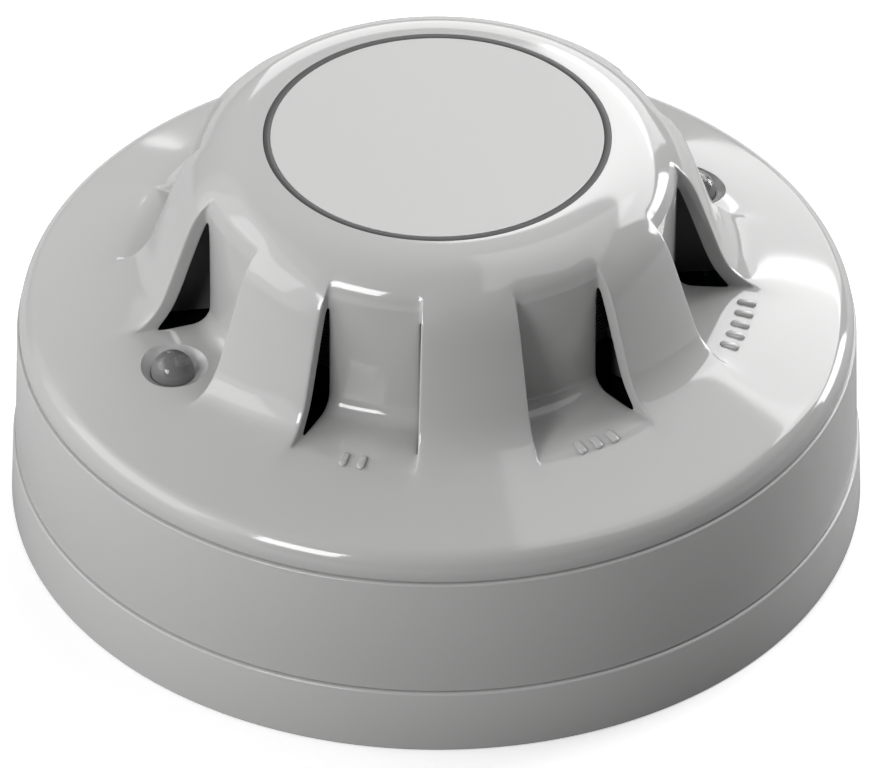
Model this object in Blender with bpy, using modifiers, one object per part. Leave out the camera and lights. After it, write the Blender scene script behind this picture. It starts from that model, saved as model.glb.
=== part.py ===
"""Ceiling heat detector: a vented head that turns and locks on a round mounting base.

Sizes are in millimetres and become metres where geometry is made. The origin is the centre of the
base's mounting face, +Z points out of the ceiling towards the dome, and +X runs through an indicator.
"""

import math

import bmesh
import bpy
from mathutils import Matrix, Vector

MM = 0.001

# Clearances
SEAT_GAP = 0.3  # between pieces that rest on or in one another
INLAY_GAP = 0.12  # around the identification ring
LEAD_IN = 0.05  # how far a joined or cutting piece passes the face that it meets

# Mounting base
BASE_RADIUS = 50.0
BASE_DRAFT = 0.35
BASE_HEIGHT = 8.0
BASE_WALL = 1.65
BASE_FLOOR = 2.0
BASE_EDGE = 0.3
CABLE_HOLE_RADIUS = 22.0
CABLE_COLLAR_WALL = 1.5
CABLE_COLLAR_HEIGHT = 5.0
FIXING_NEAR = 25.5  # the two slots take screws at centres from 51 to 69 mm
FIXING_FAR = 34.5
FIXING_SLOT_WIDTH = 5.0

# Twist lock
LOCK_ANGLES = (20.0, 150.0, 260.0)  # uneven, so that the head goes on one way round
TAB_WIDTH = 16.0  # degrees
TAB_REACH = 2.1
TAB_BOTTOM = 5.2
TAB_THICK = 1.6
STOP_WIDTH = 2.0  # degrees
STOP_SPACE = 0.5  # degrees between a tab and its stop
LUG_WIDTH = 14.0  # degrees
LUG_REACH = 2.1
LUG_BOTTOM = 3.0
LUG_THICK = 1.6
LUG_COLLAR_SPACE = 0.5  # between the tabs and the collar that carries the lugs
LUG_COLLAR_WALL = 1.8
LUG_COLLAR_BOTTOM = 2.6

# Terminals in the base
TERMINAL_RADIUS = 33.0
LINE_TERMINALS = (40.0, 140.0, 220.0, 320.0)
EARTH_TERMINAL = 184.0
PLATFORM_LENGTH = 24.0
EARTH_PLATFORM_LENGTH = 10.0
PLATFORM_WIDTH = 9.5
PLATFORM_TOP = 3.4
STRIP_WIDTH = 7.0
STRIP_THICK = 0.8
STRIP_END = 10.5
LEAF_RISE = 1.7
LEAF_TIP = 11.0
SCREW_SHIFT = 4.6  # from the middle of a line terminal to its screw
WASHER_SIDE = 7.0
WASHER_THICK = 0.8
TERMINAL_HEAD_RADIUS = 3.1
TERMINAL_HEAD_HEIGHT = 2.1
TERMINAL_THREAD_RADIUS = 1.7
TERMINAL_THREAD_END = 1.3
SCREW_CLEARANCE = 0.3
DRIVE_SLOT = 0.8
DRIVE_DEPTH = 0.9

# Housing of the head
SKIRT_LEDGE = 0.3  # the base's rim shows below the skirt by this much
SKIRT_DRAFT = 0.5
SKIRT_HEIGHT = 14.9
SKIRT_WALL = 1.9
REAR_PLATE_LIFT = 1.2  # underside of the rear plate above the skirt's lower edge
REAR_PLATE = 1.8
SNAP_HEIGHT = 2.0  # middle of the snap groove below the skirt's upper edge
SNAP_DEPTH = 0.5
SNAP_WIDTH = 1.2

# Circuit board and what it carries
BOARD_LIFT = 2.7  # underside of the board above the rear plate
BOARD_THICK = 1.6
BOARD_SPACE = 4.95  # between the skirt's wall and the board
PILLAR_RADIUS = 3.0
PILLAR_CIRCLE = 36.0
PILLAR_ANGLES = (90.0, 195.0, 285.0)
BOARD_SCREW_RADIUS = 1.0
BOARD_SCREW_HEAD_RADIUS = 2.2
BOARD_SCREW_HEAD = 1.5
BOARD_SCREW_LENGTH = 4.6
BLADE_WIDTH = 5.6
BLADE_THICK = 0.8
BLADE_FOOT = 5.0
BLADE_OFFSET = 10.0  # degrees from the middle of its terminal
LAMP_RADIUS = 1.5
LAMP_HEIGHT = 1.4

# Cover
COVER_WALL = 1.85
COVER_STEP = 0.25  # the skirt's rim shows below the cover by this much
COVER_HEIGHT = 26.5
RIM_HEIGHT = 0.6
SHOULDER_RADIUS = 3.0
FLANGE_SLOPE = 19.0
BAY_FLOOR_HEIGHT = 6.6  # above the cover's lower edge
RIB_SLOPE = 70.7
RIB_FOOT_RADIUS = 34.6  # where the rib's straight side would meet the bay floor
RIB_FLARE_RADIUS = 6.5
DOME_EDGE_RADIUS = 9.8
COVER_LIP_WALL = 1.4
COVER_LIP_DEPTH = 3.9
RING_RADIUS = 19.6
RING_WIDTH = 0.66
RING_DEPTH = 0.5

# Bays between the ribs
BAY_COUNT = 8
BAY_WIDTH = 23.0  # degrees
BAY_WALL_RADIUS = 27.65
BAY_WALL = 1.5
BAY_FLOOR = 1.8
BAY_FILLET = 2.0
BAY_WALL_INSET = 0.3  # degrees between the bay's wall and the ribs, where the side vents begin
BAY_FLOOR_OVERLAP = 1.0  # degrees that the bay's floor runs under the ribs

# Indicators
INDICATOR_ANGLES = (0.0, 180.0)
INDICATOR_CIRCLE = 34.9
PIPE_RADIUS = 2.5
PIPE_STANDS = 1.7  # top of the lens above the bay floor
PIPE_COLLAR_RADIUS = 3.2
PIPE_COLLAR = 1.2
PIPE_STEM_RADIUS = 2.0
POCKET_RADIUS = 4.1
POCKET_DEPTH = 1.3

# Sensing chamber
TRAY_RADIUS = 31.2
TRAY_THICK = 1.4
TRAY_RING_RADIUS = 25.7
TRAY_RING_WALL = 1.3
TRAY_RING_HEIGHT = 5.0
TRAY_HUB_RADIUS = 4.2
TRAY_HUB_WALL = 1.2
TRAY_HUB_HEIGHT = 2.0
TRAY_LEG_RADIUS = 2.0
TRAY_LEG_CIRCLE = 27.0
TRAY_LEG_ANGLES = (60.0, 180.0, 300.0)
SCREEN_RADIUS = 25.1
SCREEN_WALL = 0.8
SCREEN_HEIGHT = 12.4
BEAD_RADIUS = 1.6
BEAD_HEIGHT = 37.0
LEAD_RADIUS = 0.3
LEAD_SPREAD = 1.0

# Locking screw
LOCK_SCREW_ANGLE = 60.0
LOCK_SCREW_HEIGHT = 4.4
LOCK_SCREW_RADIUS = 1.25
LOCK_SCREW_LENGTH = 3.2
HEX_ACROSS = 1.5
HEX_DEPTH = 1.5
LOCK_BOSS_DEPTH = 3.5
LOCK_BOSS_WIDTH = 6.0

LARGE_STEPS = 48
SMALL_STEPS = 16
ARC_STEP = 16.0  # degrees of a rounded corner to each straight piece
BAY_FACETS = 3

# Radii and heights that follow from the sizes above
BASE_TOP_RADIUS = BASE_RADIUS - BASE_DRAFT
BASE_INNER_RADIUS = BASE_TOP_RADIUS - BASE_WALL
LUG_COLLAR_RADIUS = BASE_INNER_RADIUS - TAB_REACH - LUG_COLLAR_SPACE
SKIRT_BOTTOM_RADIUS = BASE_TOP_RADIUS - SKIRT_LEDGE
SKIRT_TOP_RADIUS = SKIRT_BOTTOM_RADIUS - SKIRT_DRAFT
COVER_RIM_RADIUS = SKIRT_TOP_RADIUS - COVER_STEP
BOARD_RADIUS = SKIRT_TOP_RADIUS - SKIRT_WALL - BOARD_SPACE
SKIRT_BOTTOM = BASE_HEIGHT + SEAT_GAP
SKIRT_TOP = SKIRT_BOTTOM + SKIRT_HEIGHT
PLATE_BOTTOM = SKIRT_BOTTOM + REAR_PLATE_LIFT
PLATE_TOP = PLATE_BOTTOM + REAR_PLATE
BOARD_BOTTOM = PLATE_TOP + BOARD_LIFT
BOARD_TOP = BOARD_BOTTOM + BOARD_THICK
COVER_BOTTOM = SKIRT_TOP + SEAT_GAP
COVER_TOP = COVER_BOTTOM + COVER_HEIGHT
BAY_FLOOR_TOP = COVER_BOTTOM + BAY_FLOOR_HEIGHT
STRIP_BOTTOM = PLATFORM_TOP + SEAT_GAP
WASHER_BOTTOM = STRIP_BOTTOM + STRIP_THICK + SEAT_GAP
HEAD_BOTTOM = WASHER_BOTTOM + WASHER_THICK + SEAT_GAP
LEAF_TOP = STRIP_BOTTOM + STRIP_THICK + LEAF_RISE
BLADE_BOTTOM = LEAF_TOP + SEAT_GAP
TRAY_TOP = BAY_FLOOR_TOP - BAY_FLOOR - SEAT_GAP
TRAY_BOTTOM = TRAY_TOP - TRAY_THICK


# ---------------------------------------------------------------- outlines


def polar(radius, degrees, height=0.0):
    """A point at that radius and angle about the detector's axis, in millimetres."""
    angle = math.radians(degrees)
    return Vector((radius * math.cos(angle), radius * math.sin(angle), height))


def crossing(point_a, dir_a, point_b, dir_b):
    """Where two lines of the profile plane cross."""
    cross = dir_a.x * dir_b.y - dir_a.y * dir_b.x
    gap = point_b - point_a
    along = (gap.x * dir_b.y - gap.y * dir_b.x) / cross
    return point_a + dir_a * along


def rounded(corners, closed=False):
    """Turns corners (x, y) or (x, y, radius) into a list of points with each radius as an arc."""
    count = len(corners)
    points = []
    for i, corner in enumerate(corners):
        here = Vector(corner[:2])
        radius = corner[2] if len(corner) > 2 else 0.0
        if radius <= 0 or (not closed and i in (0, count - 1)):
            points.append(here)
            continue
        to_last = (Vector(corners[i - 1][:2]) - here).normalized()
        to_next = (Vector(corners[(i + 1) % count][:2]) - here).normalized()
        half = to_last.angle(to_next) / 2
        reach = radius / math.tan(half)
        middle = (to_last + to_next).normalized()
        centre = here + middle * (radius / math.sin(half))
        start = here + to_last * reach - centre
        turn = start.angle_signed(here + to_next * reach - centre)
        steps = max(2, round(abs(math.degrees(turn)) / ARC_STEP))
        for k in range(steps + 1):
            points.append(centre + Matrix.Rotation(-turn * k / steps, 2) @ start)
    return points


def offset_corners(corners, distance):
    """Moves an open run of straight sides to its right by distance, keeping arcs concentric."""
    sides = [Vector(b[:2]) - Vector(a[:2]) for a, b in zip(corners, corners[1:])]
    normals = [Vector((s.y, -s.x)).normalized() for s in sides]
    moved = [Vector(corners[0][:2]) + normals[0] * distance]
    for i in range(1, len(corners) - 1):
        here = Vector(corners[i][:2])
        point = crossing(
            here + normals[i - 1] * distance,
            sides[i - 1],
            here + normals[i] * distance,
            sides[i],
        )
        bend = sides[i - 1].x * sides[i].y - sides[i - 1].y * sides[i].x
        change = -distance if bend < 0 else distance
        moved.append(Vector((point.x, point.y, corners[i][2] + change)))
    moved.append(Vector(corners[-1][:2]) + normals[-1] * distance)
    return [tuple(p) for p in moved]


def cover_corners():
    """The cover's outside through a rib: dome top, rib side, flange and rim."""
    slope = math.radians(RIB_SLOPE)
    rib_dir = Vector((math.cos(slope), -math.sin(slope)))
    rib_point = Vector((RIB_FOOT_RADIUS, BAY_FLOOR_TOP))
    fall = math.radians(FLANGE_SLOPE)
    flange_dir = Vector((math.cos(fall), -math.sin(fall)))
    shoulder = Vector((COVER_RIM_RADIUS - SHOULDER_RADIUS, COVER_BOTTOM + RIM_HEIGHT))
    flange_point = shoulder + Vector((math.sin(fall), math.cos(fall))) * SHOULDER_RADIUS
    level = Vector((1.0, 0.0))
    upright = Vector((0.0, 1.0))
    top = crossing(rib_point, rib_dir, Vector((0.0, COVER_TOP)), level)
    foot = crossing(rib_point, rib_dir, flange_point, flange_dir)
    rim = crossing(flange_point, flange_dir, Vector((COVER_RIM_RADIUS, 0.0)), upright)
    return [
        (0.0, COVER_TOP),
        (top.x, top.y, DOME_EDGE_RADIUS),
        (foot.x, foot.y, RIB_FLARE_RADIUS),
        (rim.x, rim.y, SHOULDER_RADIUS),
        (COVER_RIM_RADIUS, COVER_BOTTOM),
    ]


def flange_underside(radius):
    """Height of the flange's inner face at a radius."""
    corners = offset_corners(cover_corners(), COVER_WALL)
    foot, rim = Vector(corners[2][:2]), Vector(corners[3][:2])
    return crossing(foot, rim - foot, Vector((radius, 0.0)), Vector((0.0, 1.0))).y


def thick_line(path, thickness):
    """The closed outline of a strip whose lower side follows path, from left to right."""
    path = [Vector(p) for p in path]
    upper = []
    for i, here in enumerate(path):
        last = path[max(i - 1, 0)]
        following = path[min(i + 1, len(path) - 1)]
        along = (following - last).normalized()
        upper.append(here + Vector((-along.y, along.x)) * thickness)
    return path + upper[::-1]


# ---------------------------------------------------------------- building blocks


def clear_scene():
    for obj in list(bpy.data.objects):
        bpy.data.objects.remove(obj)


def new_collection(name):
    collection = bpy.data.collections.new(name)
    bpy.context.scene.collection.children.link(collection)
    return collection


def plastic(name, colour, roughness, metallic=0.0, transmission=0.0):
    material = bpy.data.materials.new(name)
    material.use_nodes = True
    shader = material.node_tree.nodes["Principled BSDF"]
    shader.inputs["Base Color"].default_value = (*colour, 1.0)
    shader.inputs["Roughness"].default_value = roughness
    shader.inputs["Metallic"].default_value = metallic
    shader.inputs["Transmission Weight"].default_value = transmission
    return material


def place(bm, name, material=None):
    """Makes an object of the bmesh. Without a material it is a helper for a Boolean."""
    bmesh.ops.recalc_face_normals(bm, faces=bm.faces[:])
    mesh = bpy.data.meshes.new(name)
    bm.to_mesh(mesh)
    bm.free()
    obj = bpy.data.objects.new(name, mesh)
    return keep(obj, material)


def keep(obj, material=None):
    if material is None:
        HELPERS.objects.link(obj)
        obj.hide_render = True
        obj.display_type = "WIRE"
    else:
        DETECTOR.objects.link(obj)
        obj.data.materials.append(material)
    return obj


def boolean(obj, other, operation):
    modifier = obj.modifiers.new(operation.title() + " " + other.name, "BOOLEAN")
    modifier.operation = operation
    modifier.solver = "EXACT"
    modifier.object = other


def cut(obj, cutter):
    boolean(obj, cutter, "DIFFERENCE")


def join(obj, piece):
    boolean(obj, piece, "UNION")


def turned(name, outline, material=None, steps=LARGE_STEPS, at=(0, 0, 0)):
    """A solid of revolution. The outline runs down its outer side, from the axis or as a loop."""
    bm = bmesh.new()
    rings = [bm.verts.new((p[0] * MM, 0.0, p[1] * MM)) for p in outline]
    for a, b in zip(rings, rings[1:]):
        bm.edges.new((a, b))
    if outline[0][0] > 0:
        bm.edges.new((rings[-1], rings[0]))
    mesh = bpy.data.meshes.new(name)
    bm.to_mesh(mesh)
    bm.free()
    obj = keep(bpy.data.objects.new(name, mesh), material)
    obj.location = Vector(at) * MM
    screw = obj.modifiers.new("Turn", "SCREW")
    screw.axis = "Z"
    screw.angle = math.tau
    screw.steps = steps
    screw.render_steps = steps
    screw.use_merge_vertices = True
    screw.merge_threshold = 0.00001
    screw.use_smooth_shade = False
    return obj


def add_sector(bm, outline, middle, width, steps):
    """Spins a closed outline of the profile plane through an angle, in degrees, to a closed solid."""
    start = Matrix.Rotation(math.radians(middle - width / 2), 3, "Z")
    verts = [bm.verts.new(start @ Vector((p[0], 0.0, p[1])) * MM) for p in outline]
    face = bm.faces.new(verts)
    made = bmesh.ops.spin(
        bm,
        geom=[face, *face.edges, *verts],
        cent=(0, 0, 0),
        axis=(0, 0, 1),
        angle=math.radians(width),
        steps=steps,
        use_duplicate=False,
    )
    if not face.is_valid:
        bm.faces.new(verts)
    return made


def add_box(bm, size, centre, turn=0.0):
    """A box with its middle at centre, turned about the vertical by turn degrees."""
    matrix = Matrix.Translation(Vector(centre) * MM)
    matrix @= Matrix.Rotation(math.radians(turn), 4, "Z")
    matrix @= Matrix.Diagonal((*(Vector(size) * MM), 1.0))
    bmesh.ops.create_cube(bm, size=1.0, matrix=matrix)


def add_rod(bm, radius, start, end, sides=SMALL_STEPS, tip_radius=None):
    """A cylinder or cone between two points."""
    start, end = Vector(start) * MM, Vector(end) * MM
    along = end - start
    matrix = Matrix.Translation((start + end) / 2)
    matrix @= along.to_track_quat("Z", "Y").to_matrix().to_4x4()
    bmesh.ops.create_cone(
        bm,
        cap_ends=True,
        segments=sides,
        radius1=radius * MM,
        radius2=(radius if tip_radius is None else tip_radius) * MM,
        depth=along.length,
        matrix=matrix,
    )


def flat_mesh(name, outline, thickness):
    """A closed mesh: an outline in X and Y, with its thickness shared above and below Z = 0."""
    curve = bpy.data.curves.new(name, "CURVE")
    curve.dimensions = "2D"
    curve.fill_mode = "BOTH"
    curve.extrude = thickness / 2 * MM
    spline = curve.splines.new("POLY")
    spline.points.add(len(outline) - 1)
    for point, corner in zip(spline.points, outline):
        point.co = (corner[0] * MM, corner[1] * MM, 0.0, 1.0)
    spline.use_cyclic_u = True
    flat = bpy.data.objects.new(name + " curve", curve)
    HELPERS.objects.link(flat)
    bpy.context.view_layer.update()
    graph = bpy.context.evaluated_depsgraph_get()
    mesh = bpy.data.meshes.new_from_object(flat.evaluated_get(graph))
    bpy.data.objects.remove(flat)
    bm = bmesh.new()
    bm.from_mesh(mesh)
    bpy.data.meshes.remove(mesh)
    bmesh.ops.remove_doubles(bm, verts=bm.verts[:], dist=0.000001)
    return bm


def flat_piece(name, outline, width, material):
    """A strip or plate: its side outline in X and Z, and its width along Y."""
    bm = flat_mesh(name, outline, width)
    bmesh.ops.rotate(bm, verts=bm.verts[:], matrix=Matrix.Rotation(math.pi / 2, 3, "X"))
    return place(bm, name, material)


def stand_at(obj, radius, degrees, height=0.0):
    """Puts a piece on its circle, with its X running round the axis."""
    obj.location = polar(radius, degrees, height) * MM
    obj.rotation_euler = (0.0, 0.0, math.radians(degrees + 90.0))
    return obj


# ---------------------------------------------------------------- base


def build_base(material):
    rim_height = BASE_HEIGHT - BASE_EDGE
    collar_radius = CABLE_HOLE_RADIUS + CABLE_COLLAR_WALL
    outline = [
        (BASE_TOP_RADIUS - BASE_EDGE, BASE_HEIGHT),
        (BASE_TOP_RADIUS, rim_height),
        (BASE_RADIUS, 0.0),
        (CABLE_HOLE_RADIUS, 0.0),
        (CABLE_HOLE_RADIUS, CABLE_COLLAR_HEIGHT),
        (collar_radius, CABLE_COLLAR_HEIGHT),
        (collar_radius, BASE_FLOOR),
        (BASE_INNER_RADIUS, BASE_FLOOR),
        (BASE_INNER_RADIUS, BASE_HEIGHT),
    ]
    base = turned("mounting_base", outline, material)
    for angle in LOCK_ANGLES:
        for piece in lock_tab(angle):
            join(base, piece)
    for angle in (*LINE_TERMINALS, EARTH_TERMINAL):
        join(base, platform(angle))
    cut(base, base_openings())
    for side in (-1, 1):
        cut(base, fixing_slot(side))
    return base


def fixing_slot(side):
    """A slot with round ends for a screw into the ceiling box."""
    half = FIXING_SLOT_WIDTH / 2
    near, far = FIXING_NEAR - half, FIXING_FAR + half
    corners = [(-half, near), (half, near), (half, far), (-half, far)]
    outline = rounded([(x, side * y, half * 0.99) for x, y in corners], closed=True)
    return place(flat_mesh("fixing slot", outline, BASE_FLOOR * 3), f"fixing slot {side}")


def lock_tab(angle):
    """A tab that a lug of the head turns in under, and the stop that the lug turns against."""
    inner = BASE_INNER_RADIUS - TAB_REACH
    outer = BASE_INNER_RADIUS + BASE_WALL / 2
    top = TAB_BOTTOM + TAB_THICK
    tab = [(outer, top), (outer, TAB_BOTTOM), (inner, TAB_BOTTOM), (inner, top)]
    low = BASE_FLOOR / 2
    stop = [(outer, top), (outer, low), (inner, low), (inner, top)]
    stop_angle = angle - (TAB_WIDTH + STOP_WIDTH) / 2 - STOP_SPACE
    pieces = []
    for name, outline, middle, width in (
        ("tab", tab, angle, TAB_WIDTH),
        ("stop", stop, stop_angle, STOP_WIDTH),
    ):
        bm = bmesh.new()
        add_sector(bm, outline, middle, width, max(1, round(width / 4)))
        pieces.append(place(bm, f"{name} {angle:.0f}"))
    return pieces


def platform(angle):
    """The block under a terminal."""
    length = EARTH_PLATFORM_LENGTH if angle == EARTH_TERMINAL else PLATFORM_LENGTH
    depth = PLATFORM_TOP - BASE_FLOOR / 2
    bm = bmesh.new()
    centre = polar(TERMINAL_RADIUS, angle, PLATFORM_TOP - depth / 2)
    add_box(bm, (PLATFORM_WIDTH, length, depth), centre, angle)
    return place(bm, f"platform {angle:.0f}")


def screw_place(angle):
    """The middle of a terminal's screw in the plane of the base."""
    if angle == EARTH_TERMINAL:
        return polar(TERMINAL_RADIUS, angle)
    sideways = polar(SCREW_SHIFT, angle - 90.0)
    return polar(TERMINAL_RADIUS, angle) + sideways


def base_openings():
    """Blind holes for the terminal screws and the way in to the locking screw."""
    bm = bmesh.new()
    for angle in (*LINE_TERMINALS, EARTH_TERMINAL):
        spot = screw_place(angle)
        radius = TERMINAL_THREAD_RADIUS + SCREW_CLEARANCE
        bottom = TERMINAL_THREAD_END - SCREW_CLEARANCE
        start = spot + Vector((0, 0, bottom))
        add_rod(bm, radius, start, spot + Vector((0, 0, PLATFORM_TOP + 1.0)))
    height = LOCK_SCREW_HEIGHT
    radius = LOCK_SCREW_RADIUS + SCREW_CLEARANCE
    start = polar(BASE_INNER_RADIUS - 1.0, LOCK_SCREW_ANGLE, height)
    add_rod(bm, radius, start, polar(BASE_RADIUS + 1.0, LOCK_SCREW_ANGLE, height))
    return place(bm, "base openings")


def build_terminal(index, angle, metal, plate_metal):
    """One terminal: its contact strip, clamp washer and screw."""
    strip_end = STRIP_END if angle != EARTH_TERMINAL else EARTH_PLATFORM_LENGTH / 2 - 0.5
    if angle != EARTH_TERMINAL:
        path = [
            (-strip_end, STRIP_BOTTOM),
            (2.0, STRIP_BOTTOM),
            (5.4, STRIP_BOTTOM + LEAF_RISE * 0.92),
            (7.0, STRIP_BOTTOM + LEAF_RISE),
            (8.6, STRIP_BOTTOM + LEAF_RISE * 0.9),
            (LEAF_TIP, STRIP_BOTTOM + 0.4),
        ]
    else:
        path = [(-strip_end, STRIP_BOTTOM), (strip_end, STRIP_BOTTOM)]
    strip = flat_piece(f"contact_strip_{index}", thick_line(path, STRIP_THICK), STRIP_WIDTH, plate_metal)
    stand_at(strip, TERMINAL_RADIUS, angle)
    spot = screw_place(angle)
    hole = bmesh.new()
    radius = TERMINAL_THREAD_RADIUS + SCREW_CLEARANCE
    start = spot + Vector((0, 0, STRIP_BOTTOM - 1.0))
    add_rod(hole, radius, start, spot + Vector((0, 0, HEAD_BOTTOM)))
    hole = place(hole, f"terminal hole {index}")
    cut(strip, hole)

    bm = bmesh.new()
    middle = spot + Vector((0, 0, WASHER_BOTTOM + WASHER_THICK / 2))
    add_box(bm, (WASHER_SIDE, WASHER_SIDE, WASHER_THICK), middle, angle)
    washer = place(bm, f"clamp_washer_{index}", metal)
    cut(washer, hole)

    top = TERMINAL_HEAD_HEIGHT
    edge = 0.5
    outline = [
        (0.0, top),
        (TERMINAL_HEAD_RADIUS - edge, top),
        (TERMINAL_HEAD_RADIUS, top - edge),
        (TERMINAL_HEAD_RADIUS, 0.0),
        (TERMINAL_THREAD_RADIUS, 0.0),
        (TERMINAL_THREAD_RADIUS, TERMINAL_THREAD_END - HEAD_BOTTOM),
        (0.0, TERMINAL_THREAD_END - HEAD_BOTTOM),
    ]
    at = spot + Vector((0, 0, HEAD_BOTTOM))
    screw = turned(f"terminal_screw_{index}", outline, metal, SMALL_STEPS, at)
    bm = bmesh.new()
    length = TERMINAL_HEAD_RADIUS * 3
    add_box(bm, (length, DRIVE_SLOT, DRIVE_DEPTH * 2), at + Vector((0, 0, top)), angle)
    cut(screw, place(bm, f"drive slot {index}"))


# ---------------------------------------------------------------- head


def build_housing(material):
    inner = SKIRT_TOP_RADIUS - SKIRT_WALL
    groove = SKIRT_TOP - SNAP_HEIGHT
    half = SNAP_WIDTH / 2
    collar_inner = LUG_COLLAR_RADIUS - LUG_COLLAR_WALL
    outline = [
        (0.0, PLATE_TOP),
        (inner, PLATE_TOP),
        (inner, groove - half),
        (inner + SNAP_DEPTH, groove),
        (inner, groove + half),
        (inner, SKIRT_TOP),
        (SKIRT_TOP_RADIUS, SKIRT_TOP),
        (SKIRT_BOTTOM_RADIUS, SKIRT_BOTTOM),
        (SKIRT_BOTTOM_RADIUS - SKIRT_WALL, SKIRT_BOTTOM),
        (SKIRT_BOTTOM_RADIUS - SKIRT_WALL, PLATE_BOTTOM),
        (LUG_COLLAR_RADIUS, PLATE_BOTTOM),
        (LUG_COLLAR_RADIUS, LUG_COLLAR_BOTTOM),
        (collar_inner, LUG_COLLAR_BOTTOM),
        (collar_inner, PLATE_BOTTOM),
        (0.0, PLATE_BOTTOM),
    ]
    housing = turned("head_housing", outline, material)
    join(housing, housing_fittings())
    cut(housing, housing_openings())
    return housing


def housing_fittings():
    """Lock lugs, the locking screw's boss and the pillars under the circuit board."""
    bm = bmesh.new()
    inner = LUG_COLLAR_RADIUS - LUG_COLLAR_WALL / 2
    outer = LUG_COLLAR_RADIUS + LUG_REACH
    top = LUG_BOTTOM + LUG_THICK
    lug = [(outer, top), (outer, LUG_BOTTOM), (inner, LUG_BOTTOM), (inner, top)]
    for angle in LOCK_ANGLES:
        add_sector(bm, lug, angle, LUG_WIDTH, 3)
    boss_outer = LUG_COLLAR_RADIUS - LUG_COLLAR_WALL / 2
    boss_inner = boss_outer - LOCK_BOSS_DEPTH
    height = PLATE_BOTTOM + REAR_PLATE / 2 - LUG_COLLAR_BOTTOM - LEAD_IN
    middle = LUG_COLLAR_BOTTOM + LEAD_IN + height / 2
    size = (boss_outer - boss_inner, LOCK_BOSS_WIDTH, height)
    centre = polar((boss_outer + boss_inner) / 2, LOCK_SCREW_ANGLE, middle)
    add_box(bm, size, centre, LOCK_SCREW_ANGLE)
    for angle in PILLAR_ANGLES:
        start = polar(PILLAR_CIRCLE, angle, PLATE_TOP - REAR_PLATE / 2)
        add_rod(bm, PILLAR_RADIUS, start, polar(PILLAR_CIRCLE, angle, BOARD_BOTTOM - SEAT_GAP))
    return place(bm, "housing fittings")


def housing_openings():
    """Slots for the contact blades and holes for the screws."""
    bm = bmesh.new()
    for angle in LINE_TERMINALS:
        turn = angle + BLADE_OFFSET
        size = (BLADE_THICK + 2 * SEAT_GAP, BLADE_WIDTH + 2 * SEAT_GAP, REAR_PLATE * 2)
        add_box(bm, size, polar(TERMINAL_RADIUS, turn, PLATE_BOTTOM + REAR_PLATE / 2), turn)
    radius = BOARD_SCREW_RADIUS + SEAT_GAP
    bottom = BOARD_TOP - BOARD_SCREW_LENGTH - SEAT_GAP
    for angle in PILLAR_ANGLES:
        start = polar(PILLAR_CIRCLE, angle, bottom)
        add_rod(bm, radius, start, polar(PILLAR_CIRCLE, angle, BOARD_TOP))
    radius = LOCK_SCREW_RADIUS + SCREW_CLEARANCE
    start = polar(LUG_COLLAR_RADIUS - LOCK_BOSS_DEPTH * 2, LOCK_SCREW_ANGLE, LOCK_SCREW_HEIGHT)
    end = polar(LUG_COLLAR_RADIUS + 1.0, LOCK_SCREW_ANGLE, LOCK_SCREW_HEIGHT)
    add_rod(bm, radius, start, end)
    return place(bm, "housing openings")


def build_locking_screw(material):
    bm = bmesh.new()
    outer = LUG_COLLAR_RADIUS - 0.4
    start = polar(outer - LOCK_SCREW_LENGTH, LOCK_SCREW_ANGLE, LOCK_SCREW_HEIGHT)
    end = polar(outer, LOCK_SCREW_ANGLE, LOCK_SCREW_HEIGHT)
    add_rod(bm, LOCK_SCREW_RADIUS, start, end)
    screw = place(bm, "locking_screw", material)
    bm = bmesh.new()
    start = polar(outer - HEX_DEPTH, LOCK_SCREW_ANGLE, LOCK_SCREW_HEIGHT)
    end = polar(outer + 1.0, LOCK_SCREW_ANGLE, LOCK_SCREW_HEIGHT)
    add_rod(bm, HEX_ACROSS / math.sqrt(3.0), start, end, 6)
    cut(screw, place(bm, "hexagon socket"))


def build_board(material):
    outline = [(0.0, BOARD_TOP), (BOARD_RADIUS, BOARD_TOP), (BOARD_RADIUS, BOARD_BOTTOM), (0.0, BOARD_BOTTOM)]
    board = turned("circuit_board", outline, material)
    bm = bmesh.new()
    for angle in PILLAR_ANGLES:
        start = polar(PILLAR_CIRCLE, angle, BOARD_BOTTOM - 1.0)
        end = polar(PILLAR_CIRCLE, angle, BOARD_TOP + 1.0)
        add_rod(bm, BOARD_SCREW_RADIUS + SEAT_GAP, start, end)
    cut(board, place(bm, "board holes"))


def build_board_screws(material):
    for index, angle in enumerate(PILLAR_ANGLES, 1):
        head = BOARD_SCREW_HEAD
        top = SEAT_GAP + head
        outline = [
            (0.0, top),
            (BOARD_SCREW_HEAD_RADIUS * 0.7, top),
            (BOARD_SCREW_HEAD_RADIUS, top - head * 0.5),
            (BOARD_SCREW_HEAD_RADIUS, SEAT_GAP),
            (BOARD_SCREW_RADIUS, SEAT_GAP),
            (BOARD_SCREW_RADIUS, -BOARD_SCREW_LENGTH),
            (0.0, -BOARD_SCREW_LENGTH),
        ]
        at = polar(PILLAR_CIRCLE, angle, BOARD_TOP)
        screw = turned(f"board_screw_{index}", outline, material, SMALL_STEPS, at)
        bm = bmesh.new()
        for turn in (0.0, 90.0):
            size = (BOARD_SCREW_HEAD_RADIUS * 1.2, 0.5, head)
            add_box(bm, size, at + Vector((0, 0, top)), turn)
            cross = place(bm, f"board screw cross {index} {turn:.0f}")
            cut(screw, cross)
            bm = bmesh.new()
        bm.free()


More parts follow.
